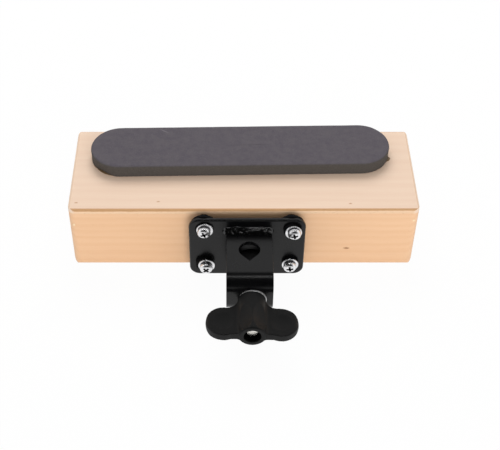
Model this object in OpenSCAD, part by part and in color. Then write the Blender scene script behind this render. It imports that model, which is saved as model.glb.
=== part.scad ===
// Woodblock with a foam pad on top and a rod clamp in front. Millimetres.
// The origin is the middle of the underside, +X runs along the block, the clamp points to -Y.

/* [Sound box] */
// Length of the box along X
box_l = 250; // [210:1:320]
// Width of the box from front to back
box_w = 86; // [72:1:120]
// Height of the box with its playing top
box_h = 56; // [56:1:80]
// Thickness of the plywood playing top
top_t = 4; // [3:0.5:6]
// Thickness of the bottom board, set in between the walls
bottom_t = 5; // [3:0.5:8]
// Thickness of the front wall, which carries the bracket
front_t = 12; // [11:0.5:16]
// Thickness of the back wall
back_t = 9; // [6:0.5:12]
// Thickness of each end board
end_t = 12; // [8:0.5:16]
// Corner radius seen from above
corner_r = 5.5; // [1:0.5:8]
// Radius of the lower corners seen from the front
foot_r = 4; // [1:0.5:6]
// Small rounding of the long edges
edge_r = 2; // [0.5:0.1:3]
// Length of the sound slot in the back wall
slot_l = 186; // [120:1:190]
// Height of the sound slot
slot_h = 8; // [5:0.5:12]
// Wood left between the slot and the playing top
slot_drop = 6; // [4:0.5:12]

/* [Foam pad] */
// Length of the pad with its round ends
pad_l = 220; // [140:1:222]
// Width of the pad
pad_w = 44; // [30:1:50]
// Thickness of the foam
pad_t = 10; // [5:0.5:15]
// Rounding of the pad's upper edge
pad_edge_r = 1.6; // [0.5:0.1:3]
// Pad's middle along X
pad_x = -2.1; // [-4:0.1:4]
// Wood left bare behind the pad
pad_back = 6.3; // [4:0.1:10]
// Turn of the pad, its right end further back
pad_turn = 1.1; // [-2:0.1:2]
// Thickness of the adhesive film
film_t = 0.4; // [0.2:0.1:1]
// How far the film peeks out where it does
film_peek = 1.4; // [0.5:0.1:3]

/* [Mounting plate] */
// Width of the plate
plate_w = 82.8; // [78:0.1:100]
// Plate's top edge below the playing top; its lower edge is level with the underside
plate_drop = 0.4; // [0:0.1:2]
// Thickness of the plate
plate_t = 3; // [2:0.5:5]
// Corner radius of the plate
plate_r = 7.5; // [3:0.5:9]
// Plate's middle along X
plate_x = 2.4; // [-10:0.1:10]
// Screw holes: distance from the plate's side edges
hole_side = 10.2; // [9:0.1:12]
// Screw holes: distance of the upper two below the plywood top
hole_under_top = 5.1; // [5:0.1:7]
// Screw holes: distance from the plate's bottom edge
hole_bottom = 12.8; // [9:0.1:14]
// Shift of all four holes along X
hole_shift = 0.2; // [-1:0.1:1]

/* [Rubber bushes] */
// Rubber between the plate and the wood
bush_t = 7.3; // [5:0.1:9]
// Diameter of the flange behind the plate
bush_d = 18.8; // [14:0.1:19.2]
// Thickness of that flange
bush_flange_t = 2.5; // [1:0.1:3]
// Diameter of the foot between the flange and the wood
foot_d = 10; // [9.6:0.1:14]
// Diameter of the neck in the plate's hole
neck_d = 9.8; // [9.6:0.1:10.4]
// Diameter of the collar in front of the plate
collar_d = 11.8; // [11:0.1:11.9]
// Thickest collar; each screw has squeezed its own to a share of this
collar_t = 3.4; // [2:0.1:5]

/* [Screws] */
// Diameter of the screws that hold the plate
screw_d = 5; // [4.6:0.1:5.1]
// Length under the head
screw_l = 25; // [24:0.5:27]
// Diameter of the thin neck under the head, where the captive washers hang
screw_neck_d = 4.3; // [3.8:0.1:4.4]
// How far the neck goes on behind the flat washer
neck_past = 0.3; // [0.1:0.1:0.6]
// Diameter of the pan head
head_d = 9; // [8.8:0.1:9.8]
// Height of the pan head
head_h = 3.3; // [2.8:0.1:3.6]
// Height of the pan head's straight side
head_side = 2.2; // [1:0.1:2.5]
// Length of each bar of the cross recess
cross_l = 5.2; // [4:0.1:5.6]
// Width of each bar of the cross recess
cross_w = 1.2; // [0.8:0.1:1.4]
// Depth of the cross recess
cross_deep = 2; // [1:0.1:2.4]
// Diameter of the washers
washer_d = 12; // [11:0.1:13]
// Thickness of the washers
washer_t = 1; // [0.6:0.1:1.6]
// Diameter of the washers' holes, which leaves them loose on the screws' necks
washer_hole_d = 5.9; // [5.9:0.1:6.4]
// Largest shift of a loose washer on its screw; each sits at its own share of this
washer_shift = 0.75; // [0:0.05:0.75]
// Diameter of the split spring washers under the heads
lock_d = 8.6; // [8:0.1:8.7]
// Thickness of the spring washers
lock_t = 1; // [0.6:0.1:1.4]
// Width of the slit in each spring washer
lock_slit = 0.6; // [0.3:0.1:1]
// Largest shift of a screw beside the middle of its bush along X; each sits at its own share of this
screw_shift = 1.7; // [0:0.1:1.8]
// Diameter of the flange on each threaded insert
insert_flange_d = 10; // [8.5:0.1:11]
// Thickness of that flange
insert_flange_t = 1.2; // [0.8:0.1:2]
// Wall of the insert's barrel round the screw
insert_wall = 0.95; // [0.7:0.05:1.4]
// Length of the insert's barrel in the wood
insert_l = 9; // [6:0.5:10]

/* [Clamp strap] */
// Width of the bent strap
strap_w = 32.3; // [28:0.1:34]
// Height of the bent strap over both arms
strap_h = 32.5; // [28:0.1:36]
// Length of the arms in front of the plate
strap_l = 48.7; // [44:0.1:60]
// Thickness of the strap
strap_t = 3.4; // [2.5:0.1:4]
// Outer radius of the two bends
bend_r = 10.4; // [8:0.1:12]
// Strap's top edge below the plate's
strap_drop = 10.1; // [8:0.1:11]
// Strap's middle beside the plate's
strap_shift = 1.3; // [-2:0.1:2]
// Diameter of the round part of the rod hole
rod_hole_d = 14.8; // [12:0.1:16]
// Rod hole's middle in front of the plate
rod_stand = 18.1; // [17:0.1:22]
// Leg of the weld beads
weld_leg = 4.2; // [3:0.1:5]

/* [Eye bolt] */
// Diameter of the threaded rod
bolt_d = 8; // [6:0.1:9]
// Wall of the ring
eye_wall = 3.8; // [3:0.1:4.5]
// Height of the ring
eye_h = 9; // [7:0.1:12]
// Bolt's middle beside the strap's
bolt_shift = 1.3; // [-2:0.1:2]
// Bolt's middle below the strap's
bolt_drop = 0.25; // [-1.5:0.05:1.5]
// Rod's end behind the nut's rim
tip_recess = 3; // [2:0.1:8]

/* [Wing nut] */
// Diameter of the barrel
nut_d = 18.9; // [16:0.1:22]
// Length of the barrel
nut_l = 31.8; // [28:0.1:38]
// Span over both wings
wing_span = 62.8; // [55:0.1:70]
// Depth of the wings along the bolt
wing_deep = 24; // [18:0.1:26]
// How far the wings reach past the rim of the barrel
wing_out = 1.1; // [0:0.1:2]
// Thickness of the wings
wing_t = 6; // [4:0.1:8]
// Wings' middle plane below the bolt
wing_drop = 0.8; // [0:0.1:1.5]
// Fillet where a wing meets the barrel, seen from the front
wing_fillet = 3; // [1:0.1:4]
// Fillet behind each wing, seen from above
wing_back_fillet = 8; // [2:0.1:9]
// Diameter of the dish in each wing
dish_d = 14; // [10:0.1:14.5]
// Depth of each dish
dish_deep = 0.9; // [0.5:0.1:1.4]
// Bore in the front of the barrel
nut_bore_d = 12.3; // [11:0.1:13]
// Length of the steel bush moulded into the barrel
nut_insert_l = 16; // [10:0.5:20]
// Turn of the nut as it was left
nut_roll = 2; // [-10:0.5:10]
// Diameter of the washer under the nut
clamp_washer_d = 19.4; // [18:0.1:22]
// Thickness of that washer
clamp_washer_t = 1.4; // [1:0.1:2]
// How far that washer hangs below the bolt's middle
clamp_washer_drop = 1; // [0:0.1:1]
// How far it hangs aside
clamp_washer_aside = 0.65; // [-0.65:0.05:0.65]

/* [Fits] */
// Radial clearance of a thread drawn as a plain cylinder
thread_gap = 0.05; // [0.02:0.01:0.08]
// Radial clearance round a screw's shank
screw_gap = 0.2; // [0.1:0.05:0.25]
// Radial clearance of a spring washer on its screw
lock_gap = 0.15; // [0.05:0.05:0.3]
// Radial clearance of the bolt in the strap
bolt_gap = 0.5; // [0.2:0.05:0.8]
// Radial clearance of a seated or moulded piece
seat_gap = 0.02; // [0.01:0.01:0.05]
// Radial clearance of the bush's neck in the plate
neck_gap = 0.1; // [0.05:0.05:0.2]
// Radial clearance of the ring round a rod that fills the rod hole
eye_gap = 0.2; // [0.15:0.05:0.5]
// Radial clearance left above the bolt by the hanging washer
hang_gap = 0.1; // [0.05:0.05:0.2]
// Gap between the nut and its washer
nut_gap = 0.05; // [0.02:0.01:0.1]

/* [Hidden] */
$fn = 64;

// Overrun of every cut past the face that it leaves
over = 1;

// Finishes
birch = [0.92, 0.82, 0.72];
board = [0.93, 0.76, 0.61];
foam = [0.38, 0.36, 0.38];
film = [0.36, 0.26, 0.17];
coated = [0.17, 0.17, 0.18];
black_rubber = [0.08, 0.08, 0.09];
bright = [0.8, 0.8, 0.82];
zinc = [0.62, 0.6, 0.55];
moulded = [0.15, 0.15, 0.15];

// Box, worked out
wall_h = box_h - top_t;
front_y = -box_w / 2;
back_y = box_w / 2;
inner_front_y = front_y + front_t;
inner_back_y = back_y - back_t;
inner_w = inner_back_y - inner_front_y;
inner_l = box_l - 2 * end_t;
slot_z = wall_h - slot_drop - slot_h / 2;

// Panel pins: round steel pins that hold the walls to the ends, punched in at slightly uneven heights
pin_d = 1.4;
pin_l = 25;
pin_side = 3.7;
pin_sink = 0.8;
pin_height_shares = [0.785, 0.87];

// Pad, worked out
pad_y = back_y - pad_back - pad_w / 2;
film_shift = 0.6;
film_lobe_d = 7;
film_tab_d = 4;
film_lobe_angle = 234;
film_tab_angle = -14;

// Bracket, worked out
plate_h = box_h - plate_drop;
plate_back_y = front_y - bush_t;
plate_front_y = plate_back_y - plate_t;
hole_x = plate_x + hole_shift;
hole_dx = plate_w / 2 - hole_side;
hole_z_top = wall_h - hole_under_top;
hole_z_bottom = hole_bottom;
CORNERS = [[-1, hole_z_top], [1, hole_z_top], [-1, hole_z_bottom], [1, hole_z_bottom]];
collar_shares = [0.24, 0.68, 0.94, 0.62];
cross_turns = [24, 12, 45, 8];
screw_shares = [0.24, 1, 0.94, -0.12];
washer_shares = [[0.87, 0.48], [-0.75, -0.64], [0.4, 0.67], [0.4, 0.4]];
lock_turns = [90, 70, 110, 80];
bush_edge = 0.6;

strap_x = plate_x + strap_shift;
strap_z = plate_h - strap_drop - strap_h;
strap_front_y = plate_front_y - strap_l;
bend_inner_r = bend_r - strap_t;
rod_hole_y = plate_front_y - rod_stand;
bolt_x = strap_x + bolt_shift;
strap_mid_z = strap_z + strap_h / 2;
bolt_z = strap_mid_z - bolt_drop;

// Weld beads: overlapping drops along each corner, a little uneven; the upper one runs past the strap
weld_pitch = 2.6;
upper_weld_over = 2.2;
upper_weld_shift = -0.8;
weld_drop_shares = [0.82, 1, 0.9, 1.02, 0.94];

// Eye bolt, worked out
bolt_r = bolt_d / 2;
eye_inner_r = rod_hole_d / 2 + abs(bolt_shift) + eye_gap;
eye_outer_r = eye_inner_r + eye_wall;
eye_edge = 1.2;
nut_base_y = strap_front_y - clamp_washer_t - nut_gap;
nut_rim_y = nut_base_y - nut_l;
bolt_tip_y = nut_rim_y + tip_recess;
tip_dome = 0.8;

// Wing nut, worked out
nut_r = nut_d / 2;
wing_mid_z = nut_l + wing_out - wing_deep / 2;
wing_back_z = wing_mid_z - wing_deep / 2;
wing_neck_l = wing_deep - wing_out;
dish_x = wing_span / 2 - wing_deep / 2;
rim_edge = 0.8;

// Square in the plane with round corners: low for the two lower ones, high for the two upper ones
module rounded_face(l, h, low, high) {
    translate([-l / 2, low]) square([l, h - low - high]);
    translate([-l / 2 + low, 0]) square([l - 2 * low, low]);
    translate([-l / 2 + high, h - high]) square([l - 2 * high, high]);
    for (side = [-1, 1]) {
        translate([side * (l / 2 - low), low]) circle(low);
        translate([side * (l / 2 - high), h - high]) circle(high);
    }
}

// Bar with two round ends, middle at the origin
module round_bar(l, w) {
    square([l - w, w], center = true);
    for (side = [-1, 1]) translate([side * (l - w) / 2, 0]) circle(w / 2);
}

// Cylinder of length l from y0 towards -Y
module bar_along_y(d, y0, l) {
    translate([0, y0, 0]) rotate([90, 0, 0]) cylinder(d = d, h = l);
}

// Outer form of the glued box with all its rounded edges
module box_form() {
    intersection() {
        linear_extrude(box_h) translate([0, front_y]) rounded_face(box_l, box_w, corner_r, corner_r);
        translate([0, back_y, 0]) rotate([90, 0, 0]) linear_extrude(box_w)
            rounded_face(box_l, box_h, foot_r, edge_r);
        translate([-box_l / 2, 0, 0]) rotate([90, 0, 90]) linear_extrude(box_l)
            rounded_face(box_w, box_h, edge_r, edge_r);
    }
}

// Part of the box form between two corners given as [x, y, z]
module board_between(low, high) {
    intersection() {
        box_form();
        translate(low) cube(high - low);
    }
}

// Places of the plate's four holes, of the screws, which stand a little beside their middles, and of the
// loose washers on the screws
module at_hole(i) {
    translate([hole_x + CORNERS[i][0] * hole_dx, 0, CORNERS[i][1]]) children();
}

module at_screw(i) {
    at_hole(i) translate([screw_shift * screw_shares[i], 0, 0]) children();
}

module at_washer(i) {
    at_screw(i) translate([washer_shares[i][0], 0, washer_shares[i][1]] * washer_shift) children();
}

module top_plate() {
    color(birch) board_between([-box_l / 2, front_y, wall_h], [box_l / 2, back_y, box_h]);
}

module bottom_plate() {
    color(birch) translate([-inner_l / 2, inner_front_y, 0]) cube([inner_l, inner_w, bottom_t]);
}

// Pins or their holes in both long walls, starting at a depth below the outer faces
module pins(depth, d) {
    for (turn = [0, 180], i = [0, 1]) rotate([0, 0, turn])
        translate([(i * 2 - 1) * (box_l / 2 - pin_side), front_y + depth, wall_h * pin_height_shares[i]])
            rotate([-90, 0, 0]) cylinder(d = d, h = pin_l - depth);
}

module panel_pins() {
    color(zinc) pins(pin_sink, pin_d);
}

module pin_holes() {
    pins(-over, pin_d + 2 * seat_gap);
}

module front_wall() {
    color(board) difference() {
        board_between([-box_l / 2, front_y, 0], [box_l / 2, inner_front_y, wall_h]);
        for (i = [0:3]) at_screw(i) {
            bar_along_y(screw_d + 2 * screw_gap, inner_front_y + over, front_t + 2 * over);
            bar_along_y(insert_barrel_d() + 2 * seat_gap, inner_front_y + over, insert_l + over);
        }
        pin_holes();
    }
}

module back_wall() {
    color(board) difference() {
        board_between([-box_l / 2, inner_back_y, 0], [box_l / 2, back_y, wall_h]);
        translate([0, back_y + over, slot_z]) rotate([90, 0, 0])
            linear_extrude(back_t + 2 * over) round_bar(slot_l, slot_h);
        pin_holes();
    }
}

module end_board(side) {
    color(board) difference() {
        intersection() {
            box_form();
            translate([side * (box_l - end_t) / 2, (inner_front_y + inner_back_y) / 2, wall_h / 2])
                cube([end_t, inner_w, wall_h], center = true);
        }
        pin_holes();
    }
}

// Half of the pad's cross-section, from its middle line to one side
module pad_half() {
    square([pad_w / 2, pad_t - pad_edge_r]);
    square([pad_w / 2 - pad_edge_r, pad_t]);
    translate([pad_w / 2 - pad_edge_r, pad_t - pad_edge_r]) circle(pad_edge_r);
}

module on_pad_place() {
    translate([pad_x, pad_y, box_h]) rotate([0, 0, pad_turn]) children();
}

module foam_pad() {
    straight = pad_l - pad_w;
    color(foam) on_pad_place() translate([0, 0, film_t]) {
        for (side = [0, 1])
            mirror([side, 0, 0]) translate([straight / 2, 0, 0]) rotate([0, 0, -90])
                rotate_extrude(angle = 180) pad_half();
        translate([-straight / 2, 0, 0]) rotate([90, 0, 90]) linear_extrude(straight) {
            pad_half();
            mirror([1, 0]) pad_half();
        }
    }
}

// The film follows the pad, a little low, with a lobe at the left and a small tab at the right
module pad_adhesive() {
    end_x = (pad_l - pad_w) / 2;
    color(film) on_pad_place() linear_extrude(film_t) {
        translate([0, -film_shift]) round_bar(pad_l - 2 * film_shift, pad_w - 2 * film_shift);
        translate([-end_x, 0]) rotate(film_lobe_angle)
            translate([pad_w / 2 + film_peek - film_lobe_d / 2, 0]) circle(d = film_lobe_d);
        translate([end_x, 0]) rotate(film_tab_angle)
            translate([pad_w / 2 + film_peek - film_tab_d / 2, 0]) circle(d = film_tab_d);
    }
}

module mounting_plate() {
    color(coated) difference() {
        translate([plate_x, plate_back_y, 0]) rotate([90, 0, 0])
            linear_extrude(plate_t) rounded_face(plate_w, plate_h, plate_r, plate_r);
        for (i = [0:3]) at_hole(i)
            bar_along_y(neck_d + 2 * neck_gap, plate_back_y + over, plate_t + 2 * over);
    }
}

// Cross-section of the strap's outside or inside: arms from the plate, two round bends at the far end
module bent_arms(l, h, r) {
    square([l - r, h]);
    translate([0, r]) square([l, h - 2 * r]);
    for (z = [r, h - r]) translate([l - r, z]) circle(r);
}

// Round rod hole that narrows to a V towards the nut
module teardrop(r) {
    half = r * sqrt(0.5);
    circle(r);
    polygon([[0, 0], [-half, -half], [0, -2 * half], [half, -half]]);
}

module clamp_strap() {
    color(coated) difference() {
        translate([strap_x + strap_w / 2, plate_front_y, strap_z]) rotate([90, 0, -90])
            linear_extrude(strap_w) difference() {
                bent_arms(strap_l, strap_h, bend_r);
                translate([-over, strap_t])
                    bent_arms(strap_l - strap_t + over, strap_h - 2 * strap_t, bend_inner_r);
            }
        translate([strap_x, rod_hole_y, strap_z - over])
            linear_extrude(strap_h + 2 * over) teardrop(rod_hole_d / 2);
        translate([bolt_x, 0, bolt_z])
            bar_along_y(bolt_d + 2 * bolt_gap, strap_front_y + strap_t + over, strap_t + 2 * over);
    }
}

// Bead of overlapping drops in the corner between plate and strap; side is 1 above and -1 below
module weld(side, past, shift) {
    run = strap_w + 2 * past - 2 * weld_leg;
    count = max(2, floor(run / weld_pitch));
    color(coated) translate([strap_x + shift, plate_front_y, strap_mid_z + side * strap_h / 2]) intersection() {
        for (i = [0:count])
            translate([-run / 2 + i * run / count, 0, 0]) sphere(weld_leg * weld_drop_shares[i % 5]);
        translate([-strap_w, -2 * weld_leg, side > 0 ? 0 : -2 * weld_leg])
            cube([2 * strap_w, 2 * weld_leg, 2 * weld_leg]);
    }
}

function collar(i) = collar_t * collar_shares[i];
function washer_y(i) = plate_front_y - collar(i);
function head_y(i) = washer_y(i) - washer_t - lock_t;
function insert_barrel_d() = screw_d + 2 * thread_gap + 2 * insert_wall;

// Spool of rubber: foot against the wood, flange behind the plate, neck through it, collar under the washer
module bush(i) {
    edge = bush_edge;
    half = bush_d / 2;
    t = collar(i);
    color(black_rubber) difference() {
        at_hole(i) translate([0, front_y, 0]) rotate([90, 0, 0]) {
            cylinder(d = foot_d, h = bush_t);
            translate([0, 0, bush_t - bush_flange_t]) cylinder(r1 = half - edge, r2 = half, h = edge);
            translate([0, 0, bush_t - bush_flange_t + edge]) cylinder(r = half, h = bush_flange_t - edge);
            cylinder(d = neck_d, h = bush_t + plate_t + t);
            translate([0, 0, bush_t + plate_t]) cylinder(d = collar_d, h = t / 2);
            translate([0, 0, bush_t + plate_t + t / 2])
                cylinder(d1 = collar_d, d2 = collar_d - edge, h = t / 2);
        }
        at_screw(i)
            bar_along_y(screw_d + 2 * screw_gap, front_y + over, bush_t + plate_t + t + 2 * over);
    }
}

module washer(i) {
    color(bright) at_washer(i) difference() {
        bar_along_y(washer_d, washer_y(i), washer_t);
        bar_along_y(washer_hole_d, washer_y(i) + over, washer_t + 2 * over);
    }
}

// Split spring washer between the flat washer and the head
module lock_washer(i) {
    color(bright) at_screw(i) difference() {
        bar_along_y(lock_d, head_y(i) + lock_t, lock_t);
        bar_along_y(screw_d + 2 * lock_gap, head_y(i) + lock_t + over, lock_t + 2 * over);
        translate([0, head_y(i) + lock_t / 2, 0]) rotate([0, lock_turns[i], 0])
            translate([lock_d / 2, 0, 0]) rotate([30, 0, 0])
                cube([lock_d, 4 * lock_t, lock_slit], center = true);
    }
}

// Pan head: a straight side under a round dome, with a cross recess turned as it was left
module screw(i) {
    dome = head_h - head_side;
    dome_r = (pow(head_d / 2, 2) + pow(dome, 2)) / (2 * dome);
    neck_l = washer_t + lock_t + neck_past;
    color(bright) at_screw(i) {
        bar_along_y(screw_d, head_y(i) + screw_l, screw_l - neck_l);
        bar_along_y(screw_neck_d, head_y(i) + 2 * neck_l, 2 * neck_l);
        translate([0, head_y(i), 0]) rotate([90, 0, 0]) difference() {
            union() {
                cylinder(d = head_d, h = head_side);
                intersection() {
                    cylinder(d = head_d, h = head_h);
                    translate([0, 0, head_h - dome_r]) sphere(dome_r);
                }
            }
            for (turn = [0, 90]) rotate([0, 0, turn + cross_turns[i]])
                translate([-cross_l / 2, -cross_w / 2, head_h - cross_deep])
                    cube([cross_l, cross_w, cross_deep + over]);
        }
    }
}

// Flanged insert, pressed in from inside the box
module threaded_insert(i) {
    color(zinc) at_screw(i) difference() {
        union() {
            bar_along_y(insert_flange_d, inner_front_y + insert_flange_t, insert_flange_t);
            bar_along_y(insert_barrel_d(), inner_front_y + insert_flange_t, insert_l + insert_flange_t);
        }
        bar_along_y(screw_d + 2 * thread_gap, inner_front_y + insert_flange_t + over,
            insert_l + insert_flange_t + 2 * over);
    }
}

// Loose washer that hangs on the bolt
module clamp_washer() {
    hole_r = bolt_r + norm([clamp_washer_aside, clamp_washer_drop]) + hang_gap;
    color(bright) translate([bolt_x + clamp_washer_aside, 0, bolt_z - clamp_washer_drop]) difference() {
        bar_along_y(clamp_washer_d, strap_front_y, clamp_washer_t);
        bar_along_y(2 * hole_r, strap_front_y + over, clamp_washer_t + 2 * over);
    }
}

// Ring round the rod, with a threaded shank that ends in a low dome
module eye_bolt() {
    e = eye_edge;
    shank_y = rod_hole_y - eye_inner_r - eye_wall / 2;
    dome_r = (pow(bolt_r, 2) + pow(tip_dome, 2)) / (2 * tip_dome);
    color(zinc) translate([bolt_x, 0, bolt_z]) {
        difference() {
            union() {
                translate([0, rod_hole_y, 0]) {
                    cylinder(r = eye_outer_r, h = eye_h - 2 * e, center = true);
                    for (side = [0, 1]) mirror([0, 0, side]) translate([0, 0, eye_h / 2 - e])
                        cylinder(r1 = eye_outer_r, r2 = eye_outer_r - e, h = e);
                }
                bar_along_y(bolt_d, shank_y, shank_y - bolt_tip_y - tip_dome);
            }
            translate([0, rod_hole_y, 0]) {
                cylinder(r = eye_inner_r, h = eye_h + 2 * over, center = true);
                for (side = [0, 1]) mirror([0, 0, side]) translate([0, 0, eye_h / 2 - e / 2])
                    cylinder(r1 = eye_inner_r, r2 = eye_inner_r + e, h = e);
            }
        }
        intersection() {
            bar_along_y(bolt_d, bolt_tip_y + 2 * tip_dome, 2 * tip_dome);
            translate([0, bolt_tip_y + dome_r, 0]) sphere(dome_r);
        }
    }
}

// Fillet in the plane between a circle of radius r and the line y = h, to the right of the circle
module wing_root(r, h, f) {
    cx = sqrt(pow(r + f, 2) - pow(h + f, 2));
    reach = r / (r + f);
    difference() {
        polygon([[0, h], [cx, h], [cx, h + f], [cx * reach, (h + f) * reach]]);
        translate([cx, h + f]) circle(f);
    }
}

// Wing nut seen along the bolt
module nut_front() {
    up = wing_t / 2 - wing_drop;
    down = wing_t / 2 + wing_drop;
    circle(nut_r);
    translate([0, -wing_drop]) round_bar(wing_span, wing_t);
    for (side = [0, 1]) mirror([side, 0]) {
        wing_root(nut_r, up, wing_fillet);
        mirror([0, 1]) wing_root(nut_r, down, wing_fillet);
    }
}

// Wing nut seen from above, the rim at y = nut_l
module nut_plan() {
    f = wing_back_fillet;
    translate([-nut_r, 0]) square([nut_d, nut_l]);
    translate([-dish_x, wing_back_z]) square([2 * dish_x, wing_neck_l]);
    for (side = [-1, 1]) translate([side * dish_x, wing_mid_z]) circle(wing_deep / 2);
    for (side = [0, 1]) mirror([side, 0]) difference() {
        translate([nut_r, wing_back_z - f]) square(f);
        translate([nut_r + f, wing_back_z - f]) circle(f);
    }
}

// Frame of the nut: z outward along the bolt from the washer, y up
module on_nut() {
    translate([bolt_x, nut_base_y, bolt_z]) rotate([0, nut_roll, 0]) rotate([90, 0, 0]) children();
}

module wing_nut_body() {
    dish_r = (pow(dish_d / 2, 2) + pow(dish_deep, 2)) / (2 * dish_deep);
    wing_top = wing_t / 2 - wing_drop;
    color(moulded) on_nut() difference() {
        intersection() {
            linear_extrude(nut_l + wing_out) nut_front();
            translate([0, nut_r, 0]) rotate([90, 0, 0]) linear_extrude(nut_d) nut_plan();
        }
        for (side = [-1, 1])
            translate([side * dish_x, wing_top + dish_r - dish_deep, wing_mid_z])
                sphere(dish_r, $fn = 128);
        translate([0, 0, -over]) cylinder(d = nut_bore_d, h = nut_l + 2 * over);
        translate([0, 0, nut_l - rim_edge])
            cylinder(d1 = nut_bore_d, d2 = nut_bore_d + 2 * rim_edge, h = rim_edge);
    }
}

module wing_nut_insert() {
    color(zinc) on_nut() difference() {
        cylinder(d = nut_bore_d - 2 * seat_gap, h = nut_insert_l);
        translate([0, 0, -over]) cylinder(d = bolt_d + 2 * thread_gap, h = nut_insert_l + 2 * over);
    }
}

top_plate();
bottom_plate();
front_wall();
back_wall();
end_board(-1);  // left_end
end_board(1);  // right_end
panel_pins();
foam_pad();
pad_adhesive();
mounting_plate();
clamp_strap();
weld(1, upper_weld_over, upper_weld_shift);  // upper_weld
weld(-1, 0, 0);  // lower_weld
bush(0);  // bush_upper_left
bush(1);  // bush_upper_right
bush(2);  // bush_lower_left
bush(3);  // bush_lower_right
washer(0);  // washer_upper_left
washer(1);  // washer_upper_right
washer(2);  // washer_lower_left
washer(3);  // washer_lower_right
lock_washer(0);  // lock_washer_upper_left
lock_washer(1);  // lock_washer_upper_right
lock_washer(2);  // lock_washer_lower_left
lock_washer(3);  // lock_washer_lower_right
screw(0);  // screw_upper_left
screw(1);  // screw_upper_right
screw(2);  // screw_lower_left
screw(3);  // screw_lower_right
threaded_insert(0);  // threaded_insert_upper_left
threaded_insert(1);  // threaded_insert_upper_right
threaded_insert(2);  // threaded_insert_lower_left
threaded_insert(3);  // threaded_insert_lower_right
eye_bolt();
clamp_washer();
wing_nut_body();
wing_nut_insert();
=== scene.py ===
# %% [markdown]
# # A woodblock on a rod clamp
# The real object is a hollow wooden box that a drummer strikes. Its plywood top sounds, a strip of foam
# damps it, and a steel bracket with a wing nut holds it on a stand. The frame already holds every piece at
# its true size, so this lesson dresses it. Each step builds one piece or one finish, and says why it is
# made that way.

# %% Load the frame
import math

import bmesh
import bpy
from mathutils import Matrix, Vector, noise


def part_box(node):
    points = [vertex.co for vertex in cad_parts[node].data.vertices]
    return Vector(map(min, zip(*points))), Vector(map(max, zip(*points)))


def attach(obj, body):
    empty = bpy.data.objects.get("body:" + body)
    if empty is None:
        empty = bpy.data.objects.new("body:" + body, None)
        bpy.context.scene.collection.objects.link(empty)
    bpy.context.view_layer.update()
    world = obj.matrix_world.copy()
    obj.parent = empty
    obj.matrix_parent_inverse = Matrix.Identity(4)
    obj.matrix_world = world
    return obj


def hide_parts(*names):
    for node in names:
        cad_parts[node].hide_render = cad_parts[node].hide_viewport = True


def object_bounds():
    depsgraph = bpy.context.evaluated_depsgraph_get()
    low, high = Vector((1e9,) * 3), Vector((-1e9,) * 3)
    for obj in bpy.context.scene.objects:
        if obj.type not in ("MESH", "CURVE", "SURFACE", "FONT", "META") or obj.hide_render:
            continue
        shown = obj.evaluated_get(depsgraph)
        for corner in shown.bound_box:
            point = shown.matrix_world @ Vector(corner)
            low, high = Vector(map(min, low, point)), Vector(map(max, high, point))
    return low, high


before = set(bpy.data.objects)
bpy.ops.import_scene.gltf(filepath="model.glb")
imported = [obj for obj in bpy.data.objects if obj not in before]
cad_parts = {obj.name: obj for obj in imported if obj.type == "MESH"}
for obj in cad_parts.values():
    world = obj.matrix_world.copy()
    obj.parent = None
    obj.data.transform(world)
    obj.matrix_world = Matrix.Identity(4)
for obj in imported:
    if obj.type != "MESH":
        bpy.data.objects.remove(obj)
cad_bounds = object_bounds()
scene = bpy.context.scene
MM = 0.001

# %% [markdown]
# ## Camera
# The six corners of the box that the photograph shows fix where the camera stood: in front of the block and
# above it, looking down at about half a right angle. The picture was cropped off the lens's own axis, so
# the camera keeps its direction and gets a small sideways shift instead of a turn.

# %% Camera at the photograph's place
PHOTO_WIDTH, PHOTO_HEIGHT = 500, 450
FOCAL_PX = 1080
AXIS_PX = Vector((225.8, 225.0))
SENSOR_MM = 36
CAMERA_PLACE = Vector((-12.4, -586.9, 591.1)) * MM
CAMERA_DOWN = math.radians(45.36)
NEAREST = 10 * MM

camera = bpy.data.objects.new("camera", bpy.data.cameras.new("camera"))
scene.collection.objects.link(camera)
scene.camera = camera
camera.location = CAMERA_PLACE
camera.rotation_euler = (math.pi / 2 - CAMERA_DOWN, 0, 0)
camera.data.sensor_width = SENSOR_MM
camera.data.lens = FOCAL_PX * SENSOR_MM / PHOTO_WIDTH
camera.data.shift_x = ((PHOTO_WIDTH - 1) / 2 - AXIS_PX.x) / PHOTO_WIDTH
camera.data.shift_y = (AXIS_PX.y - (PHOTO_HEIGHT - 1) / 2) / PHOTO_WIDTH
camera.data.clip_start = NEAREST
print("lens", round(camera.data.lens, 1), "mm")

# %% [markdown]
# ## Small helpers for every material
# Colours are read off the object as sRGB, while Blender's sockets want linear light, so one function turns
# a hex text into linear numbers. Another adds a node, sets it up and fills its inputs. An input takes a
# number, a hex colour or another node, so each recipe below reads as a list of steps.

# %% Colour and node helpers


def srgb(hex_text):
    """Turns an sRGB hex colour into the linear colour that a socket takes, along the standard's curve."""
    channels = [int(hex_text[i:i + 2], 16) / 255 for i in (1, 3, 5)]
    linear = [c / 12.92 if c <= 0.04045 else ((c + 0.055) / 1.055) ** 2.4 for c in channels]
    return (*linear, 1.0)


def add_node(tree, kind, inputs=None, **settings):
    """Adds one shader node with its settings, and fills its inputs with numbers, hex colours or nodes."""
    made = tree.nodes.new("ShaderNode" + kind)
    for name, value in settings.items():
        setattr(made, name, value)
    for name, value in (inputs or {}).items():
        named = [socket for socket in made.inputs if socket.enabled and socket.name == name]
        socket = named[0] if named else made.inputs[name]
        if isinstance(value, bpy.types.Node):
            value = next(output for output in value.outputs if output.enabled)
        if isinstance(value, bpy.types.NodeSocket):
            tree.links.new(value, socket)
        else:
            socket.default_value = srgb(value) if isinstance(value, str) else value
    return made


def fresh_tree(owner):
    """The emptied node tree of a material or a world."""
    owner.use_nodes = True
    owner.node_tree.nodes.clear()
    return owner.node_tree


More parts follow.
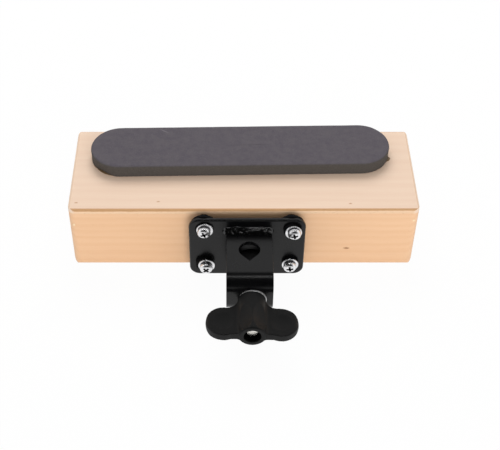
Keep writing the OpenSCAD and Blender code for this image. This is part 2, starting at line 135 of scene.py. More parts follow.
def new_finish(name):
    """Starts a material, and gives it with its emptied tree."""
    material = bpy.data.materials.new(name)
    return material, fresh_tree(material)


print("plain mid grey is", round(srgb("#808080")[0], 3), "in linear light")

# %% [markdown]
# ## Studio
# The photograph was taken in a white sweep under one large soft lamp, which hung above the block and behind
# it: the foam's shadow falls forward. A second soft box stands low in front. It lights the front wall, and
# leaves the narrow strip of wood above the bracket in shade. Lamps and world give a plain level, and the
# white comes from what camera and gloss rays see. The floor is a mix of paper and glow. The glow's share is
# large for those rays, and small for the rays that light things.

# %% World and floor
AMBIENT = 0.56
FLOOR_RADIUS, FLOOR_POINTS = 6.0, 64
FLOOR_GLOW, FLOOR_BOUNCE = 0.96, 0.35


def seen_by_eye_or_gloss(tree):
    """1 for camera, glossy and transmission rays, and 0 for the rays that light things."""
    rays = add_node(tree, "LightPath").outputs
    either = add_node(tree, "Math", {0: rays["Is Camera Ray"], 1: rays["Is Glossy Ray"]}, operation="MAXIMUM")
    return add_node(tree, "Math", {0: either, 1: rays["Is Transmission Ray"]}, operation="MAXIMUM")


def build_world():
    """A world that lights things plainly and looks white."""
    scene.world = bpy.data.worlds.new("studio")
    tree = fresh_tree(scene.world)
    light = add_node(tree, "Background", {"Color": "#ffffff", "Strength": AMBIENT})
    seen = add_node(tree, "Background", {"Color": "#ffffff", "Strength": 1.0})
    both = add_node(tree, "MixShader", {0: seen_by_eye_or_gloss(tree), 1: light, 2: seen})
    add_node(tree, "OutputWorld", {"Surface": both})


def floor_finish():
    """White paper that glows for the eye, and still takes the object's shadow."""
    material, tree = new_finish("white_paper_sweep")
    paper = add_node(tree, "BsdfDiffuse", {"Color": "#f7f7f7"})
    glow = add_node(tree, "Emission", {"Color": "#ffffff", "Strength": 1.0})
    seen = add_node(tree, "Math", {0: seen_by_eye_or_gloss(tree), 1: FLOOR_GLOW}, operation="MULTIPLY")
    share = add_node(tree, "Math", {0: seen, 1: FLOOR_BOUNCE}, operation="MAXIMUM")
    add_node(tree, "OutputMaterial", {"Surface": add_node(tree, "MixShader", {0: share, 1: paper, 2: glow})})
    return material


def new_object(name, bm, material=None):
    """Makes an object of a bmesh, with its faces turned outward."""
    bmesh.ops.recalc_face_normals(bm, faces=bm.faces)
    mesh = bpy.data.meshes.new(name)
    bm.to_mesh(mesh)
    bm.free()
    made = bpy.data.objects.new(name, mesh)
    scene.collection.objects.link(made)
    if material:
        mesh.materials.append(material)
    return made


def paper_floor():
    """A round sheet of paper under the object."""
    bm = bmesh.new()
    bmesh.ops.create_circle(bm, cap_ends=True, segments=FLOOR_POINTS, radius=FLOOR_RADIUS)
    floor = new_object("paper_floor", bm, floor_finish())
    floor.location.z = cad_bounds[0][2]
    return floor


build_world()
print("floor at z =", round(paper_floor().location.z, 4))

# %% [markdown]
# ## A dark room for the reflections
# The room behind the photographer was dark, and the satin steel shows it: a bend that faces the lens is
# almost black, but for one thin line where the lamp shows. A bent black card that only gloss rays can see
# plays that room, and a bright strip in front of it plays the lamp. So the two soft boxes themselves show
# in no gloss.

# %% Black card and bright strip
CARD_RADIUS, CARD_HALF_WIDTH, CARD_STEPS = 1.7, 1.5, 24
CARD_FROM, CARD_TO = 66, 179.2
STRIP_RADIUS = 1.666
STRIP_FROM, STRIP_TO = 99, 103
STRIP_GLOW = 7


def gloss_sheet(name, radius, first, last, inputs):
    """A sheet bent round the object, for gloss rays alone. Its angles rise from the horizon at the back."""
    material, tree = new_finish(name)
    shader = add_node(tree, "BsdfPrincipled", {"Roughness": 1.0, "Specular IOR Level": 0, **inputs})
    add_node(tree, "OutputMaterial", {"Surface": shader})
    bm = bmesh.new()
    edge = []
    for i in range(CARD_STEPS + 1):
        turn = math.radians(first + (last - first) * i / CARD_STEPS)
        y, z = radius * math.cos(turn), radius * math.sin(turn)
        edge.append([bm.verts.new((side * CARD_HALF_WIDTH, y, z)) for side in (-1, 1)])
    for low, high in zip(edge, edge[1:]):
        bm.faces.new((low[0], low[1], high[1], high[0]))
    sheet = new_object(name, bm, material)
    sheet.visible_camera = sheet.visible_diffuse = sheet.visible_shadow = sheet.visible_transmission = False


gloss_sheet("black_card", CARD_RADIUS, CARD_FROM, CARD_TO, {"Base Color": "#050505"})
gloss_sheet("lamp_strip", STRIP_RADIUS, STRIP_FROM, STRIP_TO,
            {"Emission Color": "#ffffff", "Emission Strength": STRIP_GLOW})
print("the strip spans", STRIP_TO - STRIP_FROM, "degrees of the card's", CARD_TO - CARD_FROM)

# %% Lamps
LAMP_AIM = Vector((0, 0, 30)) * MM
LAMP_SIZE = 0.8
OVERHEAD_PLACE, OVERHEAD_WATTS = Vector((-0.05, 0.75, 1.0)), 7.8
FILL_PLACE, FILL_WATTS = Vector((0.25, -1.33, 0.42)), 7.2


def soft_lamp(name, place, watts):
    """A square soft box that faces the object."""
    lamp = bpy.data.objects.new(name, bpy.data.lights.new(name, "AREA"))
    scene.collection.objects.link(lamp)
    lamp.data.size = LAMP_SIZE
    lamp.data.energy = watts
    lamp.visible_glossy = False
    lamp.location = place
    lamp.rotation_euler = (LAMP_AIM - lamp.location).to_track_quat("-Z", "Y").to_euler()
    return lamp


lamps = [soft_lamp("overhead_box", OVERHEAD_PLACE, OVERHEAD_WATTS),
         soft_lamp("front_fill", FILL_PLACE, FILL_WATTS)]
scene.view_settings.view_transform = "Standard"
print("lamps", [lamp.name for lamp in lamps])

# %% [markdown]
# ## Space that follows the grain
# Every pattern on wood is long along the fibres and narrow across them. Object coordinates are metres in
# the frame, so a Mapping node that divides them by a length along the grain and a width across it gives a
# space in which one unit is one streak. The patterns below are named, and each stands as its length and
# width in millimetres, then the detail and roughness of its noise.

# %% Patterns measured in millimetres


def pattern_space(tree, along_mm, across_mm, grain="X"):
    """Object coordinates scaled so that one unit is one streak, along X, or along Y where grain says so."""
    place = add_node(tree, "TexCoord").outputs["Object"]
    along, across = 1 / (along_mm * MM), 1 / (across_mm * MM)
    scale = (along, across, across) if grain == "X" else (across, along, across)
    return add_node(tree, "Mapping", {"Vector": place, "Scale": scale})


def streaks(tree, along_mm, across_mm, detail=4, roughness=0.6, grain="X"):
    """Noise streaks of a real length and width, from 0 to 1."""
    space = pattern_space(tree, along_mm, across_mm, grain)
    return add_node(tree, "TexNoise", {"Vector": space, "Scale": 1.0, "Detail": detail,
                                       "Roughness": roughness})


print("a streak of 40 x 0.8 mm has a scale of", 1 / (40 * MM), 1 / (0.8 * MM))

# %% [markdown]
# ## Steps that every recipe shares
# Three steps come back in each finish. Patterns are laid over each other, a pattern turns one colour into
# another, and the recipe ends with relief, shader and output. Small marks, such as a knot, are soft ovals
# of a real size whose border is made ragged by noise.

# %% Layers, tones, marks and the surface
MARK_RAGGED = (1.2, 0.8)
MARK_SOLID, MARK_GONE = 0.8, 1.6


def layered(tree, pattern, *layers):
    """Lays more patterns over the first, each given as its share and itself."""
    for share, layer in layers:
        pattern = add_node(tree, "Mix", {"Factor": share, "A": pattern, "B": layer}, data_type="RGBA")
    return pattern


def toned(tree, pattern, low, high, first, second, most=1.0):
    """Turns the first colour into the second where a pattern rises from low to high, by a share of most."""
    share = add_node(tree, "MapRange", {"Value": pattern, "From Min": low, "From Max": high, "To Max": most})
    return add_node(tree, "Mix", {"Factor": share, "A": first, "B": second}, data_type="RGBA")


def marked(tree, colour, mark, centre_mm, long_mm, wide_mm, turn=0.0):
    """Lays a mark's colour over another, in a soft oval round a point (x, y, z)."""
    place = add_node(tree, "TexCoord").outputs["Object"]
    centred = add_node(tree, "VectorMath", {0: place, 1: Vector(centre_mm) * MM}, operation="SUBTRACT")
    turned_back = add_node(tree, "Mapping", {"Vector": centred, "Rotation": (0, 0, -turn)})
    reach = Vector((long_mm, wide_mm, wide_mm)) * MM
    shares = add_node(tree, "VectorMath", {0: turned_back, 1: reach}, operation="DIVIDE")
    far = add_node(tree, "VectorMath", {0: shares}, operation="LENGTH")
    ragged = add_node(tree, "Math", {0: far, 1: streaks(tree, *MARK_RAGGED)}, operation="ADD")
    return toned(tree, ragged, MARK_SOLID, MARK_GONE, mark, colour)


def surface(tree, inputs, height, deep_mm):
    """Ends a recipe: relief of a real depth, the shader with its inputs, and the output."""
    relief = add_node(tree, "Bump", {"Height": height, "Distance": deep_mm * MM})
    shader = add_node(tree, "BsdfPrincipled", {"Normal": relief, **inputs})
    add_node(tree, "OutputMaterial", {"Surface": shader})


print("a mark fades between", MARK_SOLID, "and", MARK_GONE, "of its reach, noise included")

# %% [markdown]
# ## Solid boards: planed alder
# The walls are pale orange boards with straight, quiet grain. A solid texture is used, as if the board had
# been sawn from a log: rings round a far pith draw near-straight lines on the long faces and arcs on the
# end grain, with no seam between them. Fine fibres, broad bands and small dark flecks go on top, all with
# little contrast. A thin matt lacquer leaves a soft sheen.

# %% Growth rings
# A wave texture of scale 1 draws a ring every 0.314 units.
RING_UNIT, RING_MM = 0.314, 4.2
RING_WOBBLE, RING_WOBBLE_MM = (130, 30, 2, 0.5), 7
PITH_MM = (0, 70, -60)


def growth_rings(tree, grain):
    """Rings round a pith that runs along the grain, a little wavy, from 0 to 1."""
    place = add_node(tree, "TexCoord").outputs["Object"]
    reach = RING_WOBBLE_MM * MM
    shift = add_node(tree, "MapRange", {"Value": streaks(tree, *RING_WOBBLE, grain), "To Min": -reach,
                                        "To Max": reach})
    wavy = add_node(tree, "VectorMath", {0: place, 1: shift}, operation="ADD")
    centred = add_node(tree, "Mapping", {"Vector": wavy, "Location": tuple(-value * MM for value in PITH_MM)})
    wave = add_node(tree, "TexWave", {"Vector": centred, "Scale": RING_UNIT / (RING_MM * MM),
                                      "Distortion": 1.5, "Detail": 2.0, "Detail Scale": 0.6},
                    wave_type="RINGS", rings_direction=grain, wave_profile="SIN")
    return wave.outputs["Fac"]


print("rings every", RING_MM, "mm")

# %% Alder finish
# Real fibres are far finer than a pixel, so they are drawn 0.7 mm wide, as coarse as it takes to show them.
ALDER_FIBRES, ALDER_LINES = (42, 0.7, 5, 0.65), (90, 2.4, 3, 0.6)
ALDER_BANDS, ALDER_FLECKS = (220, 14, 2, 0.5), (3.2, 0.35, 2, 0.5)
FIBRE_DEEP_MM = 0.03
KNOT_AT, KNOT_LONG_MM, KNOT_HIGH_MM = (75.4, -43, 16.8), 2.6, 1.1


def alder(name, grain="X", knot=False):
    """Planed alder under thin matt lacquer: soft sheen, orange tan, quiet straight grain."""
    material, tree = new_finish(name)
    fibres = streaks(tree, *ALDER_FIBRES, grain)
    tone = layered(tree, growth_rings(tree, grain), (0.6, streaks(tree, *ALDER_LINES, grain)), (0.4, fibres),
                   (0.3, streaks(tree, *ALDER_BANDS, grain)))
    colour = toned(tree, tone, 0.33, 0.67, "#ebbd93", "#f1c69e")
    colour = toned(tree, streaks(tree, *ALDER_FLECKS, grain), 0.66, 0.74, colour, "#c9925f", 0.3)
    if knot:
        colour = marked(tree, colour, "#a06a42", KNOT_AT, KNOT_LONG_MM, KNOT_HIGH_MM)
    surface(tree, {"Base Color": colour, "Roughness": 0.5, "Specular IOR Level": 0.35}, fibres, FIBRE_DEEP_MM)
    return material


finishes = {
    "front_board": alder("alder_front_board", knot=True),
    "long_board": alder("alder_long_board"),
    "end_board": alder("alder_end_board", grain="Y"),
}
print("boards", sorted(finishes))

# %% [markdown]
# ## Plywood playing top
# The top is a thin sheet of birch plywood. Its face veneer was peeled off the log, so the grain is wide and
# wavy and so faint that it shows as pale clouds. Along the cut and rounded front edge the plies come to
# light one below the other: the cross ply turns its open end grain out and stains brown, with a painted
# highlight line and a pale ply under it. The two short ends show that ply's long grain, and are paler. One
# material does it all, because a point's height within the sheet says which ply it belongs to, and its normal
# which way it faces.

# %% Plies along the edge
# Colours of the plies, by height from the sheet's underside (0) to its top (1). The bright stop at 0.56 is a
# painted highlight line along the edge.
PLY_STOPS = (
    (0.00, "#efc59f"), (0.06, "#f1cba6"), (0.30, "#f0cca9"), (0.47, "#f1ceaa"), (0.56, "#fcdcb8"),
    (0.62, "#e7bc94"), (0.70, "#d1a57a"), (0.82, "#cb9e71"), (0.95, "#d0a276"),
)
PLY_WAVER, PLY_DASHES = (7, 1.5, 4), (2.6, 0.5, 3)
PLY_RAGGED_MM, PLY_TILT = 0.18, 0.004
END_PALENESS = 0.9


def ply_height(tree, ragged_mm, tilt):
    """The height of a point among the plies, which waver a little and rise to one side."""
    place = add_node(tree, "TexCoord").outputs["Object"]
    height = add_node(tree, "VectorMath", {0: place, 1: (-tilt, 0, 1)}, operation="DOT_PRODUCT")
    ragged = add_node(tree, "MapRange", {"Value": streaks(tree, *PLY_WAVER), "From Min": 0.3, "From Max": 0.7,
                                         "To Min": -ragged_mm * MM, "To Max": ragged_mm * MM})
    return add_node(tree, "Math", {0: height, 1: ragged}, operation="ADD")


def ply_edge(tree, low_mm, thick_mm):
    """Colours of the plies by height, with dashes of open grain, and paler at the ends."""
    share = add_node(tree, "MapRange", {"Value": ply_height(tree, PLY_RAGGED_MM, PLY_TILT),
                                        "From Min": low_mm * MM, "From Max": (low_mm + thick_mm) * MM})
    ramp = add_node(tree, "ValToRGB", {0: share})
    elements = ramp.color_ramp.elements
    while len(elements) < len(PLY_STOPS):
        elements.new(1.0)
    for element, (stop, colour) in zip(elements, PLY_STOPS):
        element.position = stop
        element.color = srgb(colour)
    front = toned(tree, streaks(tree, *PLY_DASHES), 0.5, 0.75, ramp, "#a9764a", 0.3)
    facing = add_node(tree, "SeparateXYZ", {0: add_node(tree, "TexCoord").outputs["Normal"]}).outputs["X"]
    sideways = add_node(tree, "Math", {0: facing}, operation="ABSOLUTE")
    return toned(tree, sideways, 0.05, 0.5, front, "#f2d9c2", END_PALENESS)


print("plies in", len(PLY_STOPS), "tones")

# %% Birch plywood finish
# The veneer's fibres, too, are drawn wider than they are, so that they show.
VENEER_CLOUDS, VENEER_FIBRES = (60, 9, 3, 0.5), (24, 0.6, 5, 0.65)
VENEER_WAVE_MM = (150, 14)
VENEER_MM, VENEER_RAGGED_MM, VENEER_BLUR_MM, VENEER_TILT = 0.07, 0.01, 0.02, 0.0002
TOP_MARKS = ((-119.3, -35.7, 56), (-60.8, -34.6, 56), (75.9, -36.5, 56))
TOP_MARK_LONG_MM, TOP_MARK_WIDE_MM = 1.5, 0.75


def birch_plywood(name, low_mm, thick_mm, marks=()):
    """Peeled birch veneer under matt lacquer on top, with brown open plies round the edge."""
    material, tree = new_finish(name)
    waves = add_node(tree, "TexWave", {"Vector": pattern_space(tree, *VENEER_WAVE_MM), "Scale": 0.5,
                                       "Distortion": 7.0, "Detail": 2.0, "Detail Scale": 1.4},
                     wave_type="BANDS", bands_direction="Y").outputs["Fac"]
    fibres = streaks(tree, *VENEER_FIBRES)
    tone = layered(tree, streaks(tree, *VENEER_CLOUDS), (0.35, waves), (0.5, fibres))
    veneer = toned(tree, tone, 0.25, 0.75, "#edcfb7", "#f3d9c2")
    for place in marks:
        veneer = marked(tree, veneer, "#c79a76", place, TOP_MARK_LONG_MM, TOP_MARK_WIDE_MM)
    border, blur = (low_mm + thick_mm - VENEER_MM) * MM, VENEER_BLUR_MM * MM
    colour = toned(tree, ply_height(tree, VENEER_RAGGED_MM, VENEER_TILT), border - blur, border + blur,
                   ply_edge(tree, low_mm, thick_mm), veneer)
    surface(tree, {"Base Color": colour, "Roughness": 0.5, "Specular IOR Level": 0.25}, fibres, FIBRE_DEEP_MM)
    return material


def thickness_of(node):
    """Lowest height and thickness of a flat board, in millimetres."""
    low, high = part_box(node)
    return low.z / MM, (high.z - low.z) / MM


finishes["playing_top"] = birch_plywood("birch_playing_top", *thickness_of("top_plate"), TOP_MARKS)
finishes["bottom"] = birch_plywood("birch_bottom", *thickness_of("bottom_plate"))
print("top is", round(thickness_of("top_plate")[1], 2), "mm thick")

# %% [markdown]
# ## Metal, rubber and plastic
# These finishes have little colour of their own, so their look is in the gloss. Each is made in the same
# way: soft patches of two tones and two roughnesses, over a fine grain in relief. Only the sizes and values
# differ. Powder coat is black paint, and almost all that one sees of it is reflection. Plated steel is pure
# reflection in a light grey. Rubber, nylon and blackened steel are blacks told apart by their sheen and
# grain.

# %% One recipe for them all
ROUGH_FROM, ROUGH_TO = 0.3, 0.7
SOFT_PATCHES, FULL_PATCHES = (0.35, 0.65), (0, 1)


def patchy(name, patches, tones, rough, grain, deep_mm, inputs, spread=SOFT_PATCHES):
    """Patches of two tones and roughnesses over a grain. Patches stand in for the grain where it is None."""
    material, tree = new_finish(name)
    pattern = streaks(tree, *patches)
    if isinstance(rough, tuple):
        rough = add_node(tree, "MapRange", {"Value": pattern, "From Min": ROUGH_FROM, "From Max": ROUGH_TO,
                                            "To Min": rough[0], "To Max": rough[1]})
    height = streaks(tree, *grain) if grain else pattern
    surface(tree, {"Base Color": toned(tree, pattern, *spread, *tones), "Roughness": rough, **inputs}, height,
            deep_mm)
    return material


# Satin black with a haze of dust and the fine orange peel of powder that flowed out in the oven.
finishes["coat"] = patchy("powder_coated_steel", (9, 9, 3, 0.5), ("#050506", "#0a0a0b"), (0.25, 0.28),
                          (0.9, 0.9, 2, 0.5), 0.002, {"Specular IOR Level": 0.28}, FULL_PATCHES)
print("powder coat made")

# %% Plated and bare steel
# Name, darker and lighter tone, roughness in the dull and in the bright patches.
METALS = {
    # Screws and their flat washers: bright, with small dull patches from handling.
    "chrome": ("bright_chromed_steel", "#dededf", "#f4f4f6", 0.33, 0.23),
    # Spring washers: painted dark, so that they show as painted shade under the head.
    "spring": ("spring_steel_painted_shade", "#3a3a3d", "#58585b", 0.55, 0.4),
    # The washer behind the wing nut: tumbled, and dull enough for one soft line of light.
    "washer": ("dull_zinc_washer", "#c4c4c4", "#dcdcdc", 0.65, 0.5),
    # Hidden steel: warm grey zinc.
    "zinc": ("zinc_plated_steel", "#a9a497", "#cfcbbf", 0.42, 0.22),
    # The eye bolt's thread: a brighter zinc, polished by the nut.
    "bolt": ("bright_zinc_bolt", "#bdbab2", "#f2f0ea", 0.4, 0.2),
    # Inside the cross recess: dark, partly grime and partly painted shade in the deep slots.
    "recess": ("recess_grime_and_painted_shade", "#1c1c1e", "#303032", 0.6, 0.45),
}
# The grain of plating is finer than a pixel, and is drawn at 0.6 mm, so that it just breaks up the gloss.
WEAR, METAL_GRAIN, METAL_DEEP_MM = (1.6, 1.6, 4, 0.6), (0.6, 0.6, 2, 0.6), 0.002

for key, (name, dark, light, dull, bright) in METALS.items():
    finishes[key] = patchy(name, WEAR, (dark, light), (dull, bright), METAL_GRAIN, METAL_DEEP_MM,
                           {"Metallic": 1.0})
print("metals", sorted(METALS))

# %% Rubber, nylon and blackened steel
# Name, darker and lighter tone, mean roughness, specular level, size and depth of the grain in millimetres.
BLACKS = {
    # Moulded rubber: dull and faintly blue, with a coarse skin.
    "rubber": ("moulded_rubber", "#040405", "#0b0b0e", 0.7, 0.12, 0.6, 0.02),
    # Moulded nylon: a soft sheen, and the fine grain of a spark-eroded mould.
    "nylon": ("moulded_nylon", "#050505", "#090909", 0.58, 0.24, 0.45, 0.012),
    # Forged steel, blackened in oil: the dullest, with the hammer's scale on it.
    "blackened": ("blackened_forged_steel", "#040404", "#090909", 0.65, 0.1, 0.9, 0.02),
}
HAZE, HAZE_ROUGHNESS = (5, 5, 4, 0.6), 0.05

for key, (name, dark, light, rough, specular, grain_mm, deep_mm) in BLACKS.items():
    finishes[key] = patchy(name, HAZE, (dark, light), (rough - HAZE_ROUGHNESS, rough + HAZE_ROUGHNESS),
                           (grain_mm, grain_mm, 2, 0.5), deep_mm, {"Specular IOR Level": specular})
print("blacks", sorted(BLACKS))

# %% [markdown]
# ## Foam and its adhesive film
# The strip is cut from a sheet of closed-cell EVA foam. Its skin is a matt grey with a hint of violet. Where
# the strip faces sideways it is drawn a little darker and greener, with the cells as tiny pits. The film
# under it is brown carrier paper, slightly shiny with glue.

# %% Foam and film finishes
FOAM_CELLS, FOAM_MOTTLE, CELL_DEEP_MM = (0.9, 0.9, 3, 0.6), (5, 5, 4, 0.6), 0.05
SCRATCH_AT, SCRATCH_TURN = (-58.6, 30.4, 66.4), math.radians(-33)
SCRATCH_LONG_MM, SCRATCH_WIDE_MM = 4.2, 0.4
FILM_CREASES, CREASE_DEEP_MM = (3, 3, 4, 0.6), 0.08


def eva_foam():
    """Closed-cell foam: mottled skin facing up, a darker, greener tone facing sideways, and one scratch."""
    material, tree = new_finish("closed_cell_foam")
    cells = streaks(tree, *FOAM_CELLS)
    skin = toned(tree, streaks(tree, *FOAM_MOTTLE), 0.35, 0.65, "#58535a", "#5f5a5f")
    skin = toned(tree, cells, 0.5, 0.75, skin, "#736e74", 0.3)
    skin = marked(tree, skin, "#7f7a80", SCRATCH_AT, SCRATCH_LONG_MM, SCRATCH_WIDE_MM, SCRATCH_TURN)
    cut = toned(tree, cells, 0.35, 0.65, "#4b4845", "#54504d")
    facing = add_node(tree, "SeparateXYZ", {0: add_node(tree, "TexCoord").outputs["Normal"]}).outputs["Z"]
    colour = toned(tree, facing, 0.35, 0.8, cut, skin)
    surface(tree, {"Base Color": colour, "Roughness": 0.85, "Specular IOR Level": 0.25}, cells, CELL_DEEP_MM)
    return material


finishes["foam"] = eva_foam()
finishes["film"] = patchy("brown_carrier_film", FILM_CREASES, ("#5b4630", "#8a6f4c"), 0.4, None,
                          CREASE_DEEP_MM, {"Specular IOR Level": 0.4}, FULL_PATCHES)
print("finishes", len(finishes))

# %% [markdown]
# ## Dressing the boards
# The box's boards are right as they are, so they stay and only get their finish. The same goes for the
# hidden steel: the pins, the inserts and the bush in the wing nut.

# %% Finishes of the pieces that stay
CORNERS = ("upper_left", "upper_right", "lower_left", "lower_right")
STAYING = {
    "top_plate": "playing_top", "bottom_plate": "bottom",
    "front_wall": "front_board", "back_wall": "long_board", "left_end": "end_board", "right_end": "end_board",
    "panel_pins": "zinc", "wing_nut_insert": "zinc",
}
STAYING.update({"threaded_insert_" + corner: "zinc" for corner in CORNERS})


def dress(node, finish):
    """Gives a piece of the frame its material in place of the plain one."""
    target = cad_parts[node]
    for used in target.material_slots:
        used.material = finishes[finish]
    if not target.material_slots:
        target.data.materials.append(finishes[finish])


for staying_node, its_finish in STAYING.items():
    dress(staying_node, its_finish)
print("dressed", len(STAYING), "pieces")

# %% [markdown]
# ## Tools for the pieces that are built anew
# A sharp edge never catches light, so the bracket, the washers and the rest are built again with real
# rounded edges. Four small tools do most of it: an outline whose corners become arcs, a lathe that spins an
# outline, an extrusion, and a loft that lays a skin over a stack of loops. Modifiers then round edges and
# cut holes, and are applied, so that each piece ends as a plain mesh.

# %% Outlines and lathe


def rounded_outline(corners, steps=6):
    """Points of a closed outline given as (x, y, radius) corners, each rounded by an arc."""
    points = []
    for i, (x, y, radius) in enumerate(corners):
        here = Vector((x, y))
        if radius == 0:
            points.append(here)
            continue
        before = (Vector(corners[i - 1][:2]) - here).normalized()
        after = (Vector(corners[(i + 1) % len(corners)][:2]) - here).normalized()
        half = before.angle(after) / 2
        centre = here + (before + after).normalized() * radius / math.sin(half)
        start = here + before * radius / math.tan(half) - centre
        end = here + after * radius / math.tan(half) - centre
        first = math.atan2(start.y, start.x)
        turn = (math.atan2(end.y, end.x) - first + math.pi) % (2 * math.pi) - math.pi
        for k in range(steps + 1):
            angle = first + turn * k / steps
            points.append(centre + radius * Vector((math.cos(angle), math.sin(angle))))
    return points


def quarter_round(radius, top, steps):
    """Pairs of (inset, height) up a rounded edge that ends at a top."""
    turns = [math.pi / 2 * k / steps for k in range(steps + 1)]
    return [(radius * (1 - math.cos(turn)), top - radius * (1 - math.sin(turn))) for turn in turns]


def turned(outline, steps=64):
    """Spins a closed outline of (radius, height) points about Z, as a lathe does."""
    bm = bmesh.new()
    angles = [2 * math.pi * i / steps for i in range(steps)]
    rings = []
    for radius, height in outline:
        if radius == 0:
            rings.append([bm.verts.new((0, 0, height))] * steps)
        else:
            rings.append([bm.verts.new((radius * math.cos(a), radius * math.sin(a), height)) for a in angles])
    for low, high in zip(rings, rings[1:] + rings[:1]):
        for i in range(steps):
            j = (i + 1) % steps
            around = list(dict.fromkeys((low[i], low[j], high[j], high[i])))
            if len(around) > 2:
                bm.faces.new(around)
    return bm


one_round = rounded_outline([(0, 0, 0), (1, 0, 0), (1, 1, 0.2), (0, 1, 0)])
print("a square with one rounded corner has", len(one_round), "points")

# %% Extrusion and loft


def extruded(outline, height):
    """A prism that stands on an outline in the XY plane."""
    bm = bmesh.new()
    base = bm.faces.new([bm.verts.new((x, y, 0)) for x, y in outline])
    grown = bmesh.ops.extrude_face_region(bm, geom=[base])["geom"]
    bmesh.ops.translate(bm, verts=[v for v in grown if isinstance(v, bmesh.types.BMVert)], vec=(0, 0, height))
    return bm


def lofted(loops):
    """A closed skin over loops of points, all of one count, with a face on the first and the last."""
    bm = bmesh.new()
    rings = [[bm.verts.new(point) for point in loop] for loop in loops]
    for below, above in zip(rings, rings[1:]):
        for i in range(len(below)):
            j = (i + 1) % len(below)
            bm.faces.new((below[i], below[j], above[j], above[i]))
    bm.faces.new(rings[0])
    bm.faces.new(rings[-1])
    return bm


def moved(bm, matrix):
    """The bmesh, moved by a matrix."""
    bmesh.ops.transform(bm, matrix=matrix, verts=bm.verts)
    return bm


def join_in(piece, other):
    """Puts a bmesh into a piece's mesh, with its faces turned outward."""
    bmesh.ops.recalc_face_normals(other, faces=other.faces)
    mesh = bpy.data.meshes.new("joined")
    other.to_mesh(mesh)
    other.free()
    bm = bmesh.new()
    for part in (piece.data, mesh):
        bm.from_mesh(part)
    bm.to_mesh(piece.data)
    bm.free()
    bpy.data.meshes.remove(mesh)


print("tools to extrude, loft, move and join")

# %% Modifiers that shape and then go
SMOOTH_BELOW = math.radians(40)


def apply_modifiers(piece):
    """Leaves the piece as the plain mesh that its modifiers made of it."""
    evaluated = piece.evaluated_get(bpy.context.evaluated_depsgraph_get())
    result = bpy.data.meshes.new_from_object(evaluated)
    piece.modifiers.clear()
    piece.data = result
    return piece


def cut_away(piece, cutter):
    """Takes the cutter's volume off the piece. The cutter goes, and its material stays on the cut faces."""
    step = piece.modifiers.new("cut", "BOOLEAN")
    step.operation = "DIFFERENCE"
    step.solver = "EXACT"
    step.material_mode = "TRANSFER" if cutter.data.materials else "INDEX"
    step.object = cutter
    apply_modifiers(piece)
    bpy.data.objects.remove(cutter)
    return piece


def ease_edges(piece, radius_mm=None, segments=3):
    """Rounds every sharp edge where a radius is given, and keeps the flats flat in the shading."""
    for face in piece.data.polygons:
        face.use_smooth = True
    if radius_mm:
        bevel = piece.modifiers.new("ease", "BEVEL")
        bevel.width = radius_mm * MM
        bevel.segments = segments
        bevel.limit_method = "ANGLE"
        bevel.angle_limit = SMOOTH_BELOW
        bevel.use_clamp_overlap = True
    piece.modifiers.new("flats", "WEIGHTED_NORMAL").keep_sharp = True
    return apply_modifiers(piece)


print("edges under", round(math.degrees(SMOOTH_BELOW)), "degrees are left unrounded")

# %% Shading and hand-over


def shade_by_angle(piece, limit=SMOOTH_BELOW):
    """Smooth shading, but for edges sharper than the limit."""
    bm = bmesh.new()
    bm.from_mesh(piece.data)
    for face in bm.faces:
        face.smooth = True
    for edge in bm.edges:
        edge.smooth = edge.calc_face_angle(0) < limit
    bm.to_mesh(piece.data)
    bm.free()
    return piece


def hand_over(piece, body, slot, *nodes):
    """The piece stands for the nodes and rides on their body. The slot is not used."""
    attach(piece, body)
    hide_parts(*nodes)
    return piece


# %% [markdown]
# ## Foam strip
# Foam is cut with a knife or a die, so its outline is a little uneven and its upper edge is softly rounded
# by the skin. A stack of rings does this best: the same outline, drawn in by the fillet's depth, goes up
# the side and over the edge, and then shrinks to the middle line. Each point can then be pushed by noise,
# and the front left corner is pared away below, where the film peeks out.

# %% Outline of the strip
PAD_LENGTH, PAD_WIDTH = 220 * MM, 44 * MM
PAD_TURN = math.radians(1.1)
PAD_CAP_STEPS, PAD_STRAIGHT_STEPS = 40, 60
PAD_MIDDLE_LINE = 0.05 * MM
MERGE_BELOW = 0.02 * MM


def pad_outline(inset):
    """Points (x, y) of the round-ended outline, drawn in by inset, each with the angle that it faces."""
    half = (PAD_LENGTH - PAD_WIDTH) / 2
    radius = max(PAD_WIDTH / 2 - inset, PAD_MIDDLE_LINE)
    points = []
    for side, start in ((1, -math.pi / 2), (-1, math.pi / 2)):
        for k in range(PAD_CAP_STEPS + 1):
            angle = start + math.pi * k / PAD_CAP_STEPS
            points.append((side * half + radius * math.cos(angle), radius * math.sin(angle), angle))
        for k in range(1, PAD_STRAIGHT_STEPS):
            points.append((side * half * (1 - 2 * k / PAD_STRAIGHT_STEPS), radius * side, start + math.pi))
    return points


def pad_place(z):
    """The matrix that lays the strip's outline on the block at a height, turned as the photograph shows."""
    low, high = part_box("foam_pad")
    middle = (low + high) / 2
    return Matrix.Translation((middle.x, middle.y, z)) @ Matrix.Rotation(PAD_TURN, 4, "Z")


print("the strip's outline has", len(pad_outline(0)), "points")

# %% Foam strip
PAD_EDGE, PAD_EDGE_STEPS, PAD_TOP_STEPS = 1.7 * MM, 5, 12
PAD_FOOT_IN, PAD_FOOT_HIGH, PAD_WAIST = 0.25 * MM, 0.8 * MM, 0.15 * MM
PARE_TURN, PARE_REACH = math.radians(232), math.radians(30)
PARE_DEEP, PARE_HIGH = 1.8 * MM, 0.75
WAVER_DEEP, WAVER_LONG = 0.22 * MM, 9 * MM
DENT_DEEP, DENT_LONG, DENT_FROM = 0.12 * MM, 16 * MM, 0.9


